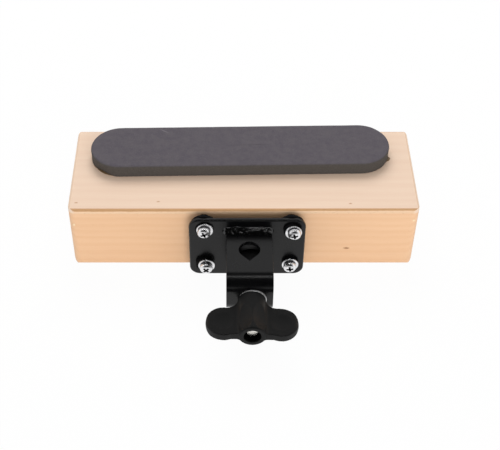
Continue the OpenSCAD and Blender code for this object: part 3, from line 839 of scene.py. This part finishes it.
def foam_rings(height):
    """(inset, height) pairs from the foot up the side, over the rounded edge and in to the middle."""
    side = [(PAD_FOOT_IN, 0), (0, PAD_FOOT_HIGH)]
    side += [(PAD_WAIST * math.sin(math.pi * k / 5), height * k / 6) for k in range(1, 5)]
    inward = (PAD_WIDTH / 2 - PAD_EDGE) / PAD_TOP_STEPS
    return (side + quarter_round(PAD_EDGE, height, PAD_EDGE_STEPS)
            + [(PAD_EDGE + inward * k, height) for k in range(1, PAD_TOP_STEPS + 1)])


def foam_point(x, y, angle, up, height):
    """A point of the strip, pushed inward by noise and, low at the front left, by the knife."""
    waver = WAVER_DEEP * noise.noise(Vector((x, y, 0)) / WAVER_LONG)
    pare = max(0.0, 1 - abs((angle % (2 * math.pi)) - PARE_TURN) / PARE_REACH) if x < 0 else 0.0
    pull = pare * pare * (3 - 2 * pare) * PARE_DEEP * max(0.0, 1 - up / (PARE_HIGH * height))
    dent = DENT_DEEP * noise.noise(Vector((x, y, 5)) / DENT_LONG) if up > DENT_FROM * height else 0.0
    away = Vector((math.cos(angle), math.sin(angle), 0))
    return Vector((x, y, up)) + away * (min(waver, 0) - pull) + Vector((0, 0, min(dent, 0)))


def foam_strip():
    """The foam pad."""
    low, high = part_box("foam_pad")
    height = high.z - low.z
    bm = lofted([[foam_point(x, y, angle, up, height) for x, y, angle in pad_outline(inset)]
                 for inset, up in foam_rings(height)])
    bmesh.ops.remove_doubles(bm, verts=bm.verts, dist=MERGE_BELOW)
    strip = new_object("foam_strip", moved(bm, pad_place(low.z)), finishes["foam"])
    hand_over(shade_by_angle(strip, math.radians(60)), "block", "foam", "foam_pad")
    return strip


foam = foam_strip()
print("foam strip", len(foam.data.polygons), "faces")

# %% [markdown]
# ## Adhesive film
# The film was cut by hand a little smaller than the foam. It shows in two places only: a ragged lobe at the
# front left and a small pointed tab at the right. Its outline is the strip's own, drawn in, with bulges
# there.

# %% Adhesive film
FILM_INSET = 0.9 * MM
# End of the strip (-1 is left), middle and half width in degrees, and how far it peeks out in millimetres.
FILM_BULGES = ((-1, 232, 22, -0.35), (-1, 205, 9, 0.1), (1, -16, 8, 3.0))
BULGE_ROUNDNESS = 0.7
FILM_RAGGED, FILM_RAGGED_LONG = 0.35, 2.5 * MM
# A hair thinner than its space, so that it never touches the foam's underside.
FILM_THICKNESS = 0.98


def film_bulge(side, angle):
    """How far the film stands out there, in metres."""
    out = 0.0
    for place, middle, reach, peek_mm in FILM_BULGES:
        away = (math.degrees(angle) - middle + 180) % 360 - 180
        if side == place and abs(away) < reach:
            out = max(out, (FILM_INSET + peek_mm * MM) * (1 - abs(away) / reach) ** BULGE_ROUNDNESS)
    return out


def film_sheet():
    """The adhesive film under the foam."""
    low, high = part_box("pad_adhesive")
    outline = []
    for x, y, angle in pad_outline(FILM_INSET):
        out = film_bulge(math.copysign(1, x), angle)
        ragged = 1 + FILM_RAGGED * noise.noise(Vector((x, y, 2)) / FILM_RAGGED_LONG)
        outline.append((x + math.cos(angle) * out * ragged, y + math.sin(angle) * out * ragged))
    bm = moved(extruded(outline, (high.z - low.z) * FILM_THICKNESS), pad_place(low.z))
    bmesh.ops.remove_doubles(bm, verts=bm.verts, dist=MERGE_BELOW)
    return hand_over(new_object("film_sheet", bm, finishes["film"]), "block", "adhesive_film", "pad_adhesive")


film = film_sheet()
print("film sheet", len(film.data.vertices), "points")

# %% [markdown]
# ## Pin fillers
# The panel pins are punched in and their holes stopped with pale filler, which shows as a light dot at each
# end of the front. Each plug fills the hole and ends in a shallow dome. It stands where the board's corner
# is already rounded, so it starts a little behind the flat of the face.

# %% Pin fillers
FILLER_RADIUS, FILLER_HIGH, FILLER_SUNK = 1.15 * MM, 0.15 * MM, 0.1 * MM
DOME_RADIUS, DOME_HIGH = 0.6 * FILLER_RADIUS, 0.8 * FILLER_HIGH
PIN_RADIUS, PIN_SIDE, PIN_SINK = 0.7 * MM, 3.7 * MM, 0.8 * MM
CORNER_RADIUS = 5.5 * MM

# Wood filler: pale, chalky and a little yellow.
finishes["filler"] = patchy("pale_wood_filler", (0.5, 0.5, 3), ("#f3d3a6", "#fbe6c6"), 0.75, None, 0.03,
                            {"Specular IOR Level": 0.3}, FULL_PATCHES)


def pin_fillers():
    """A plug over each pin, at both ends of the front and of the back."""
    low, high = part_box("front_wall")
    pins_low, pins_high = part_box("panel_pins")
    into_arc = CORNER_RADIUS - PIN_SIDE
    set_back = CORNER_RADIUS - math.sqrt(CORNER_RADIUS ** 2 - into_arc ** 2)
    plug = [(0, FILLER_HIGH), (DOME_RADIUS, DOME_HIGH), (FILLER_RADIUS, 0), (PIN_RADIUS, -FILLER_SUNK),
            (PIN_RADIUS, set_back - PIN_SINK), (0, set_back - PIN_SINK)]
    faces = (("front", low.y + set_back, 90), ("back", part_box("back_wall")[1].y - set_back, -90))
    made = []
    for side, x, height in (("left", low.x + PIN_SIDE, pins_low.z + PIN_RADIUS),
                            ("right", high.x - PIN_SIDE, pins_high.z - PIN_RADIUS)):
        for face, y, turn in faces:
            bm = moved(turned(plug, 20),
                       Matrix.Translation((x, y, height)) @ Matrix.Rotation(math.radians(turn), 4, "X"))
            dot = shade_by_angle(new_object(f"pin_filler_{face}_{side}", bm, finishes["filler"]))
            made.append(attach(dot, "block"))
    return made


print("fillers", len(pin_fillers()))

# %% [markdown]
# ## Bracket
# The plate is punched out and powder-coated, which leaves a rolled front edge that catches a bright line.
# It is lofted, because rings drawn in along a quarter circle give that edge exactly. The strap is one flat
# bar bent twice on a press. It is drawn as an outline with arcs, extruded, drilled and then eased with a
# bevel.

# %% Mounting plate
PLATE_CORNER, PLATE_CORNER_STEPS = 7.5 * MM, 10
PLATE_HOLE_RADIUS = 5 * MM
ROLLED_EDGE, ROLLED_STEPS, BACK_EDGE = 1.25 * MM, 8, 0.4 * MM
TO_FRONT = Matrix.Rotation(math.pi / 2, 4, "X")


def middle_of(node):
    """The middle of a piece as the front shows it, in X and Z."""
    low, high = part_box(node)
    return (low.x + high.x) / 2, (low.z + high.z) / 2


def at_front(node, y):
    """The matrix that stands a piece built along +Z on a node's middle, at a depth, pointing to -Y."""
    x, z = middle_of(node)
    return Matrix.Translation((x, y, z)) @ TO_FRONT


def rod_shape(radius, start, end, steps):
    """A plain rod between two heights, as the lathe turns it."""
    return turned([(0, start), (radius, start), (radius, end), (0, end)], steps)


def bracket_plate():
    """The plate with its rolled front edge and four holes for the bushes."""
    low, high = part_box("mounting_plate")
    edge = [(BACK_EDGE, 0), (0, BACK_EDGE)] + quarter_round(ROLLED_EDGE, high.y - low.y, ROLLED_STEPS)
    loops = []
    for inset, up in edge:
        left, right, bottom, top = low.x + inset, high.x - inset, low.z + inset, high.z - inset
        radius = PLATE_CORNER - inset
        corners = [(left, bottom, radius), (right, bottom, radius), (right, top, radius), (left, top, radius)]
        loops.append([(x, z, up) for x, z in rounded_outline(corners, PLATE_CORNER_STEPS)])
    plate = new_object("bracket_plate", moved(lofted(loops), Matrix.Translation((0, high.y, 0)) @ TO_FRONT),
                       finishes["coat"])
    for corner in CORNERS:
        hole = moved(rod_shape(PLATE_HOLE_RADIUS, -MM, 8 * MM, 48), at_front("bush_" + corner, high.y + MM))
        cut_away(plate, new_object("hole", hole))
    return hand_over(ease_edges(plate), "block", "coated_steel", "mounting_plate")


plate = bracket_plate()
print("plate", len(plate.data.polygons), "faces")

# %% Bent strap
STRAP_THICK, STRAP_BEND, BEND_STEPS, STRAP_EASE_MM = 3.4 * MM, 10.4 * MM, 12, 0.35
ROD_RADIUS, ROD_STAND = 7.4 * MM, 18.1 * MM
BOLT_HOLE_RADIUS = 4.5 * MM
CUT_PAST = 2 * MM


def teardrop(radius, steps=40):
    """A circle whose side towards -Y runs out into a right-angled V."""
    start = math.radians(-45)
    arc = [start + math.radians(270) * k / steps for k in range(steps + 1)]
    return [(radius * math.cos(a), radius * math.sin(a)) for a in arc] + [(0, -radius * math.sqrt(2))]


def bent_strap():
    """The strap with the holes for the rod and the eye bolt."""
    low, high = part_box("clamp_strap")
    back, front, top, bottom = -high.y, -low.y, high.z, low.z
    thick, inner = STRAP_THICK, STRAP_BEND - STRAP_THICK
    outline = rounded_outline([
        (back, top, 0), (front, top, STRAP_BEND), (front, bottom, STRAP_BEND), (back, bottom, 0),
        (back, bottom + thick, 0), (front - thick, bottom + thick, inner),
        (front - thick, top - thick, inner), (back, top - thick, 0),
    ], BEND_STEPS)
    stand = Matrix(((0, 0, 1, low.x), (-1, 0, 0, 0), (0, 1, 0, 0), (0, 0, 0, 1)))
    strap = new_object("bent_strap", moved(extruded(outline, high.x - low.x), stand), finishes["coat"])
    rod_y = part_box("mounting_plate")[0].y - ROD_STAND
    rod = moved(extruded(teardrop(ROD_RADIUS), top - bottom + 2 * CUT_PAST),
                Matrix.Translation(((low.x + high.x) / 2, rod_y, bottom - CUT_PAST)))
    cut_away(strap, new_object("rod_hole", rod))
    bore = moved(rod_shape(BOLT_HOLE_RADIUS, 0, 3 * thick, 40), at_front("eye_bolt", low.y + 2 * thick))
    cut_away(strap, new_object("bolt_hole", bore))
    return hand_over(ease_edges(strap, STRAP_EASE_MM), "block", "coated_steel", "clamp_strap")


strap = bent_strap()
print("strap", len(strap.data.polygons), "faces")

# %% [markdown]
# ## Weld beads
# A hand-laid fillet weld is a row of overlapping drops, each a shallow wave with a curved front, with
# spatter and grit under the paint. No drop is quite like the next. A grid that runs along the corner and
# round a quarter circle is pushed out by those waves, by large lumps and by grit. It ends in two rounded
# noses. The upper bead runs past the strap, further at the left, and the lower one ends with it. The coat
# is thin and glossy there.

# %% Shape of a bead
WELD_LEG, WELD_SUNK = 4.6 * MM, 0.3 * MM
WELD_PITCH, WELD_BOW, WAVE_SHARPNESS = 3.4 * MM, 3.0 * MM, 0.7
WELD_DRIFT, WELD_DRIFT_LONG = 2.4 * MM, 6 * MM
LUMP_LONG, GRIT_LONG = 4.2 * MM, 0.8 * MM
NOSE_POWER, WELD_HOLLOW = 7, 0.24
BODY_SHARE, WAVE_SHARE, LUMP_SHARE, GRIT_SHARE = 0.86, 0.05, 0.2, 0.05


def weld_reach(along, around, length):
    """How far the bead stands out of the corner at a place along it and round it."""
    nose = math.sqrt(max(0.0, 1 - abs(2 * along / length - 1) ** NOSE_POWER))
    drift = WELD_DRIFT * noise.noise(Vector((along, 0, 3 * MM)) / WELD_DRIFT_LONG)
    bow = WELD_BOW * math.cos(2 * (around - math.pi / 4))
    wave = abs(math.sin(math.pi * (along + bow + drift) / WELD_PITCH)) ** WAVE_SHARPNESS
    lump = noise.noise(Vector((along, around * 3 * MM, 0)) / LUMP_LONG)
    grit = noise.noise(Vector((along / 3, around * 4 * MM, 7 * MM)) / GRIT_LONG)
    flat = 1 - WELD_HOLLOW * math.sin(2 * around)
    return WELD_LEG * nose * flat * (BODY_SHARE + WAVE_SHARE * wave + LUMP_SHARE * lump + GRIT_SHARE * grit)


print("a drop every", round(WELD_PITCH / MM, 1), "mm")

# %% Weld beads
WELD_OVER = {"upper_weld": (3.0 * MM, 1.4 * MM), "lower_weld": (0, 0)}
WELD_STEPS, WELD_ROUND = 240, 18
NOSE_MERGE = 0.005 * MM

finishes["weld"] = patchy("coated_weld", (0.5, 0.5, 3), ("#040404", "#0b0b0b"), 0.16, None, 0.07,
                          {"Specular IOR Level": 0.8}, FULL_PATCHES)


def weld_bead(name, side, node):
    """A bead above (side 1) or below (side -1) the strap, against the plate."""
    low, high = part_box("clamp_strap")
    past_left, past_right = WELD_OVER[node]
    length = high.x - low.x + past_left + past_right
    corner = Vector((low.x - past_left, high.y, high.z if side > 0 else low.z))
    rows = []
    for i in range(WELD_STEPS + 1):
        along = length * i / WELD_STEPS
        row = [corner + Vector((along, WELD_SUNK, -side * WELD_SUNK))]
        for j in range(WELD_ROUND + 1):
            around = math.pi / 2 * j / WELD_ROUND
            reach = weld_reach(along, around, length)
            row.append(corner + Vector((along, WELD_SUNK - reach * math.cos(around),
                                        side * (reach * math.sin(around) - WELD_SUNK))))
        rows.append(row)
    bm = lofted(rows)
    bmesh.ops.remove_doubles(bm, verts=bm.verts, dist=NOSE_MERGE)
    bead = shade_by_angle(new_object(name, bm, finishes["weld"]), math.radians(70))
    return hand_over(bead, "block", "coated_steel", node)


beads = [weld_bead("weld_bead_upper", 1, "upper_weld"), weld_bead("weld_bead_lower", -1, "lower_weld")]
print("beads", [len(bead.data.polygons) for bead in beads])

# %% [markdown]
# ## Bushes and washers
# Rings are lathe work. Each is one outline with rounded corners, spun about an axis: the rubber spool with
# its foot, flange, neck and collar, and the flat washer, which a punch leaves slightly rounded on top. The
# screws sit a little beside the middle of their bushes, so each spool's bore is shifted to its screw. The
# washers are captive on the screws' thin necks and hang askew: a flat one, and a split spring washer under
# the head, which is the same lathe work with a slit sawn through.

# %% Rubber bushes
FOOT_RADIUS, FOOT_EASE = 5 * MM, 0.4 * MM
FLANGE_RADIUS, FLANGE_THICK, FLANGE_EASE, DISC_EASE = 9.4 * MM, 2.5 * MM, 0.7 * MM, 0.3 * MM
NECK_RADIUS = 4.9 * MM
COLLAR_RADIUS, COLLAR_BACK_EASE, COLLAR_EASE = 5.9 * MM, 0.2 * MM, 0.6 * MM
SCREW_HOLE = 2.7 * MM
BUSH_STEPS = 5


def rubber_bush(corner):
    """The bush of one corner, a spool that reaches through the plate."""
    low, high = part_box("bush_" + corner)
    plate_low, plate_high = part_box("mounting_plate")
    disc = high.y - plate_high.y
    flange = disc - FLANGE_THICK
    neck = disc + plate_high.y - plate_low.y
    total = high.y - low.y
    bm = turned(rounded_outline([
        (SCREW_HOLE, 0, 0), (FOOT_RADIUS, 0, FOOT_EASE), (FOOT_RADIUS, flange, 0),
        (FLANGE_RADIUS, flange, FLANGE_EASE), (FLANGE_RADIUS, disc, DISC_EASE), (NECK_RADIUS, disc, 0),
        (NECK_RADIUS, neck, 0), (COLLAR_RADIUS, neck, COLLAR_BACK_EASE),
        (COLLAR_RADIUS, total, min(COLLAR_EASE, (total - neck) * 0.5)), (SCREW_HOLE, total, 0),
    ], BUSH_STEPS))
    beside = middle_of("screw_" + corner)[0] - middle_of("bush_" + corner)[0]
    for point in bm.verts:
        if point.co.xy.length < SCREW_HOLE + 0.01 * MM:
            point.co.x += beside
    moved(bm, at_front("bush_" + corner, high.y))
    bush = new_object("rubber_bush_" + corner, bm, finishes["rubber"])
    return hand_over(shade_by_angle(bush), "block", "black_rubber", "bush_" + corner)


print("bushes", [rubber_bush(corner).name for corner in CORNERS])

# %% Flat washers and spring washers
WASHER_HOLE, LOCK_HOLE, THRUST_HOLE = 2.95 * MM, 2.65 * MM, 5.3 * MM
PUNCH_EASE, OUTER_EASE, INNER_EASE = 0.1 * MM, 0.35, 0.2
LOCK_SLIT, LOCK_SLANT = 0.6 * MM, math.radians(30)
LOCK_TURNS = {"upper_left": 90, "upper_right": 70, "lower_left": 110, "lower_right": 80}


def flat_ring(name, node, hole, finish):
    """A washer in the place of a node, with punched edges."""
    low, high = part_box(node)
    radius = (high.x - low.x) / 2
    thick = high.y - low.y
    outline = rounded_outline([
        (hole, 0, PUNCH_EASE), (radius, 0, PUNCH_EASE),
        (radius, thick, OUTER_EASE * thick), (hole, thick, INNER_EASE * thick),
    ], 4)
    ring = new_object(name, moved(turned(outline, 72), at_front(node, high.y)), finishes[finish])
    return hand_over(shade_by_angle(ring), "block", "bright_steel", node)


def saw_slit(ring, corner):
    """Cuts the slanted slit of a spring washer."""
    low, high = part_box("lock_washer_" + corner)
    saw = Matrix.Diagonal((high.x - low.x, 4 * (high.y - low.y), LOCK_SLIT, 1))
    bm = bmesh.new()
    bmesh.ops.create_cube(bm, size=1, matrix=saw)
    slant = Matrix.Translation(((high.x - low.x) / 2, 0, 0)) @ Matrix.Rotation(LOCK_SLANT, 4, "X")
    turn = Matrix.Rotation(math.radians(LOCK_TURNS[corner]), 4, "Y")
    cutter = new_object("slit", moved(bm, Matrix.Translation((low + high) / 2) @ turn @ slant))
    return shade_by_angle(cut_away(ring, cutter))


# The spring washers' dark finish is painted shade under the heads.
for corner in CORNERS:
    flat_ring("flat_washer_" + corner, "washer_" + corner, WASHER_HOLE, "chrome")
    saw_slit(flat_ring("spring_washer_" + corner, "lock_washer_" + corner, LOCK_HOLE, "spring"), corner)
flat_ring("thrust_washer", "clamp_washer", THRUST_HOLE, "washer")
print("washers done for", len(CORNERS), "corners and the clamp")

# %% [markdown]
# ## Threads
# A thread needs no helix path. On a cylinder cut into fine rings, each point's radius follows a triangle
# wave of its height less its share of a turn, and the crests line up into a helix by themselves. The wave
# fades out at both ends, as a rolled thread does.

# %% Threaded rod
THREAD_DEPTH = 0.6


def threaded_rod(radius, pitch, low, high, before, after, per_pitch=6, steps=32):
    """A rod with a thread between two heights, and plain rings of (radius, height) before and after it."""
    depth = THREAD_DEPTH * pitch
    count = max(2, round((high - low) / pitch * per_pitch))
    rings = [(height, [plain] * steps) for plain, height in before]
    for k in range(count + 1):
        height = low + (high - low) * k / count
        fade = min(1.0, (height - low) / pitch, (high - height) / pitch)
        waves = [abs(2 * ((height / pitch - i / steps) % 1) - 1) for i in range(steps)]
        radii = [radius - depth * wave * fade if fade > 0 else radius - depth for wave in waves]
        rings.append((height, radii))
    rings += [(height, [plain] * steps) for plain, height in after]
    turns = [2 * math.pi * i / steps for i in range(steps)]
    return lofted([[(r * math.cos(turn), r * math.sin(turn), height) for r, turn in zip(radii, turns)]
                   for height, radii in rings])


print("a thread is", THREAD_DEPTH, "of its pitch deep")

# %% [markdown]
# ## Pan head screws
# The bright screws catch the eye first. A pan head is a full oval between its rim and its nearly flat top,
# and its cross recess has four tapered slots. The recess is a tapered cross that is cut away from the
# lathe-turned head, and the cutter leaves a dark finish on the faces it makes: partly grime, and partly
# painted shade in the deep slots. Each screw was left at its own turn.

# %% Head and cross recess
HEAD_RADIUS, HEAD_HIGH, HEAD_RIM, HEAD_FULLNESS = 4.7 * MM, 3.3 * MM, 0.15 * MM, 2.5
CROSS_DEEP = 2.0 * MM
# Share of the depth below the top, half length and half width in millimetres. It starts above the head.
CROSS_SECTIONS = ((-0.5, 3.0, 0.9), (0.5, 2.2, 0.66), (1.0, 1.1, 0.4))


def cross_cutter():
    """A cross that tapers downward."""
    turns = [Matrix.Rotation(math.pi / 2 * k, 3, "Z") for k in range(4)]
    rings = []
    for share, long_mm, wide_mm in CROSS_SECTIONS:
        height = HEAD_HIGH - share * CROSS_DEEP
        corners = [Vector((x * MM, y * MM, height))
                   for x, y in ((wide_mm, -wide_mm), (long_mm, -wide_mm), (long_mm, wide_mm))]
        rings.append([turn @ place for turn in turns for place in corners])
    return lofted(rings)


def pan_outline(steps=24):
    """The outline of a pan head, a full oval between its rim and its top."""
    points = [(0, 0), (HEAD_RADIUS - HEAD_RIM, 0)]
    for k in range(steps + 1):
        angle = math.pi / 2 * k / steps
        out, up = (max(0.0, share) ** (2 / HEAD_FULLNESS) for share in (math.cos(angle), math.sin(angle)))
        points.append((HEAD_RADIUS * out if k < steps else 0, HEAD_RIM + (HEAD_HIGH - HEAD_RIM) * up))
    return points


print("a head is drawn with", len(pan_outline()), "points")

# %% Pan head screws
SCREW_RADIUS, SCREW_PITCH = 2.5 * MM, 0.8 * MM
SCREW_STEPS, SCREW_RINGS = 24, 4
THREAD_FROM, THREAD_SHORT_OF_NECK = 1.0 * MM, 0.3 * MM
POINT_RADIUS, POINT_END_RADIUS, POINT_LONG = 1.9 * MM, 1.5 * MM, 0.5 * MM
NECK_UNDER_HEAD, NECK_LONG, NECK_INTO_HEAD = 2.15 * MM, 2.3 * MM, 0.05 * MM
HEAD_EASE_MM, HEAD_SMOOTH_BELOW = 0.12, math.radians(35)
CROSS_TURNS = {"upper_left": 24, "upper_right": 12, "lower_left": 45, "lower_right": 8}


def screw_shank(length):
    """The threaded shank under a head, from its blunt point to its thin neck."""
    point = [(POINT_END_RADIUS, -length), (POINT_RADIUS, POINT_LONG - length)]
    neck = [(NECK_UNDER_HEAD, -NECK_LONG), (NECK_UNDER_HEAD, NECK_INTO_HEAD)]
    return threaded_rod(SCREW_RADIUS, SCREW_PITCH, THREAD_FROM - length, -NECK_LONG - THREAD_SHORT_OF_NECK,
                        point, neck, SCREW_RINGS, SCREW_STEPS)


# The dark finish that the cross cutter leaves in the recess is partly grime, partly painted shade.
def pan_head_screw(corner):
    """The screw of one corner, head and shank in one mesh."""
    seat_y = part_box("lock_washer_" + corner)[0].y
    screw = new_object("pan_head_screw_" + corner, turned(pan_outline(), 64), finishes["chrome"])
    cutter = moved(cross_cutter(), Matrix.Rotation(math.radians(CROSS_TURNS[corner]), 4, "Z"))
    cut_away(screw, new_object("cross", cutter, finishes["recess"]))
    shade_by_angle(ease_edges(screw, HEAD_EASE_MM, 2), HEAD_SMOOTH_BELOW)
    join_in(screw, screw_shank(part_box("screw_" + corner)[1].y - seat_y))
    screw.data.transform(at_front("screw_" + corner, seat_y))
    return hand_over(screw, "block", "bright_steel", "screw_" + corner)


screws = [pan_head_screw(corner) for corner in CORNERS]
print("screws", [len(screw.data.polygons) for screw in screws])

# %% [markdown]
# ## Eye bolt
# The eye bolt is a forged ring with rounded edges on a threaded shank. Ring and neck were blackened in oil,
# and the thread is bright zinc, so it is drawn as two meshes that move as one. The ring is an outline with
# large corner arcs, spun on the lathe and drilled where the shank enters. The shank ends almost flat, with
# an eased edge, and its end shows inside the wing nut.

# %% Eye bolt
EYE_WALL, EYE_EDGE, EYE_STEPS = 3.8 * MM, 1.5 * MM, 6
BOLT_RADIUS, BOLT_PITCH = 4 * MM, 1.25 * MM
BOLT_IN_RING, THREAD_PAST_RING, THREAD_SHORT_OF_TIP = 2 * MM, 2 * MM, 0.9 * MM
# Radius, and distance below the end, of the rings that close the tip, in millimetres.
BOLT_TIP = ((3.75, 0.6), (3.5, 0.2), (2.4, 0.08), (1.2, 0.02), (0.3, 0))


def eye_place():
    """The ring's outer radius, its half height, the depth of its middle and the length to the bolt's tip."""
    low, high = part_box("eye_bolt")
    outer = (high.x - low.x) / 2
    return outer, (high.z - low.z) / 2, high.y - outer, high.y - outer - low.y


def forged_eye():
    """The ring that holds the rod, drilled for the shank."""
    outer, half, y, _ = eye_place()
    inner = outer - EYE_WALL
    x, z = middle_of("eye_bolt")
    corners = [(inner, -half), (outer, -half), (outer, half), (inner, half)]
    ring = turned(rounded_outline([(*corner, EYE_EDGE) for corner in corners], EYE_STEPS), 72)
    eye = new_object("forged_eye", moved(ring, Matrix.Translation((x, y, z))), finishes["blackened"])
    hole = moved(rod_shape(BOLT_RADIUS, inner + BOLT_IN_RING, outer + MM, 48), at_front("eye_bolt", y))
    cut_away(eye, new_object("shank_hole", hole))
    return hand_over(shade_by_angle(eye), "clamp_bolt", "coated_steel", "eye_bolt")


def threaded_shank():
    """The bolt from the ring to its tip."""
    outer, _, y, tip = eye_place()
    rod = threaded_rod(BOLT_RADIUS, BOLT_PITCH, outer + THREAD_PAST_RING, tip - THREAD_SHORT_OF_TIP,
                       [(BOLT_RADIUS, outer - EYE_WALL + BOLT_IN_RING), (BOLT_RADIUS, outer + MM)],
                       [(radius * MM, tip - below * MM) for radius, below in BOLT_TIP])
    shank = new_object("threaded_shank", moved(rod, at_front("eye_bolt", y)), finishes["bolt"])
    return hand_over(shade_by_angle(shank, math.radians(35)), "clamp_bolt", "zinc_steel", "eye_bolt")


bolt_parts = [forged_eye(), threaded_shank()]
print("eye bolt", [len(part.data.polygons) for part in bolt_parts], "faces")

# %% [markdown]
# ## Wing nut
# The wing nut came out of a mould, so its wings flow out of the barrel and nearly every edge is round.
# Rounding such joints with bevels is fiddly. Instead the frame's own shape is copied into a new mesh,
# turned into an even skin of small squares by a voxel remesh, and smoothed, which melts all of its edges
# alike. Only the ring round the bore is crisp on the real nut, so it is turned on the lathe and joined on
# afterwards.

# %% Wing nut
BARREL_END = -135.25 * MM
NUT_VOXEL, NUT_SMOOTHINGS = 0.35 * MM, 7
MOUTH_BORE, MOUTH_RADIUS = 6.0 * MM, 8.9 * MM
MOUTH_OUT, MOUTH_BACK, MOUTH_EASE, BORE_EASE = 0.5 * MM, 2 * MM, 0.5 * MM, 0.25 * MM


def mouth_ring():
    """The crisp ring round the bore at the barrel's end, which a remesh would melt."""
    high = MOUTH_BACK + MOUTH_OUT
    ring = turned(rounded_outline([(MOUTH_BORE, 0, 0), (MOUTH_RADIUS, 0, 0), (MOUTH_RADIUS, high, MOUTH_EASE),
                                   (MOUTH_BORE, high, BORE_EASE)], 5), 72)
    for face in ring.faces:
        face.smooth = True
    return moved(ring, at_front("eye_bolt", BARREL_END + MOUTH_BACK))


def wing_nut():
    """The moulded nut, made of the frame's own shape."""
    nut = bpy.data.objects.new("wing_nut_moulding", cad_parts["wing_nut_body"].data.copy())
    scene.collection.objects.link(nut)
    remesh = nut.modifiers.new("skin", "REMESH")
    remesh.mode = "VOXEL"
    remesh.voxel_size = NUT_VOXEL
    remesh.use_smooth_shade = True
    melt = nut.modifiers.new("melt", "SMOOTH")
    melt.factor = 0.5
    melt.iterations = NUT_SMOOTHINGS
    join_in(apply_modifiers(nut), mouth_ring())
    nut.data.materials.clear()
    nut.data.materials.append(finishes["nylon"])
    return hand_over(nut, "clamp_nut", "moulded_nylon", "wing_nut_body")


nut = wing_nut()
print("wing nut", len(nut.data.polygons), "faces")

# %% Finish
print("all pieces built")
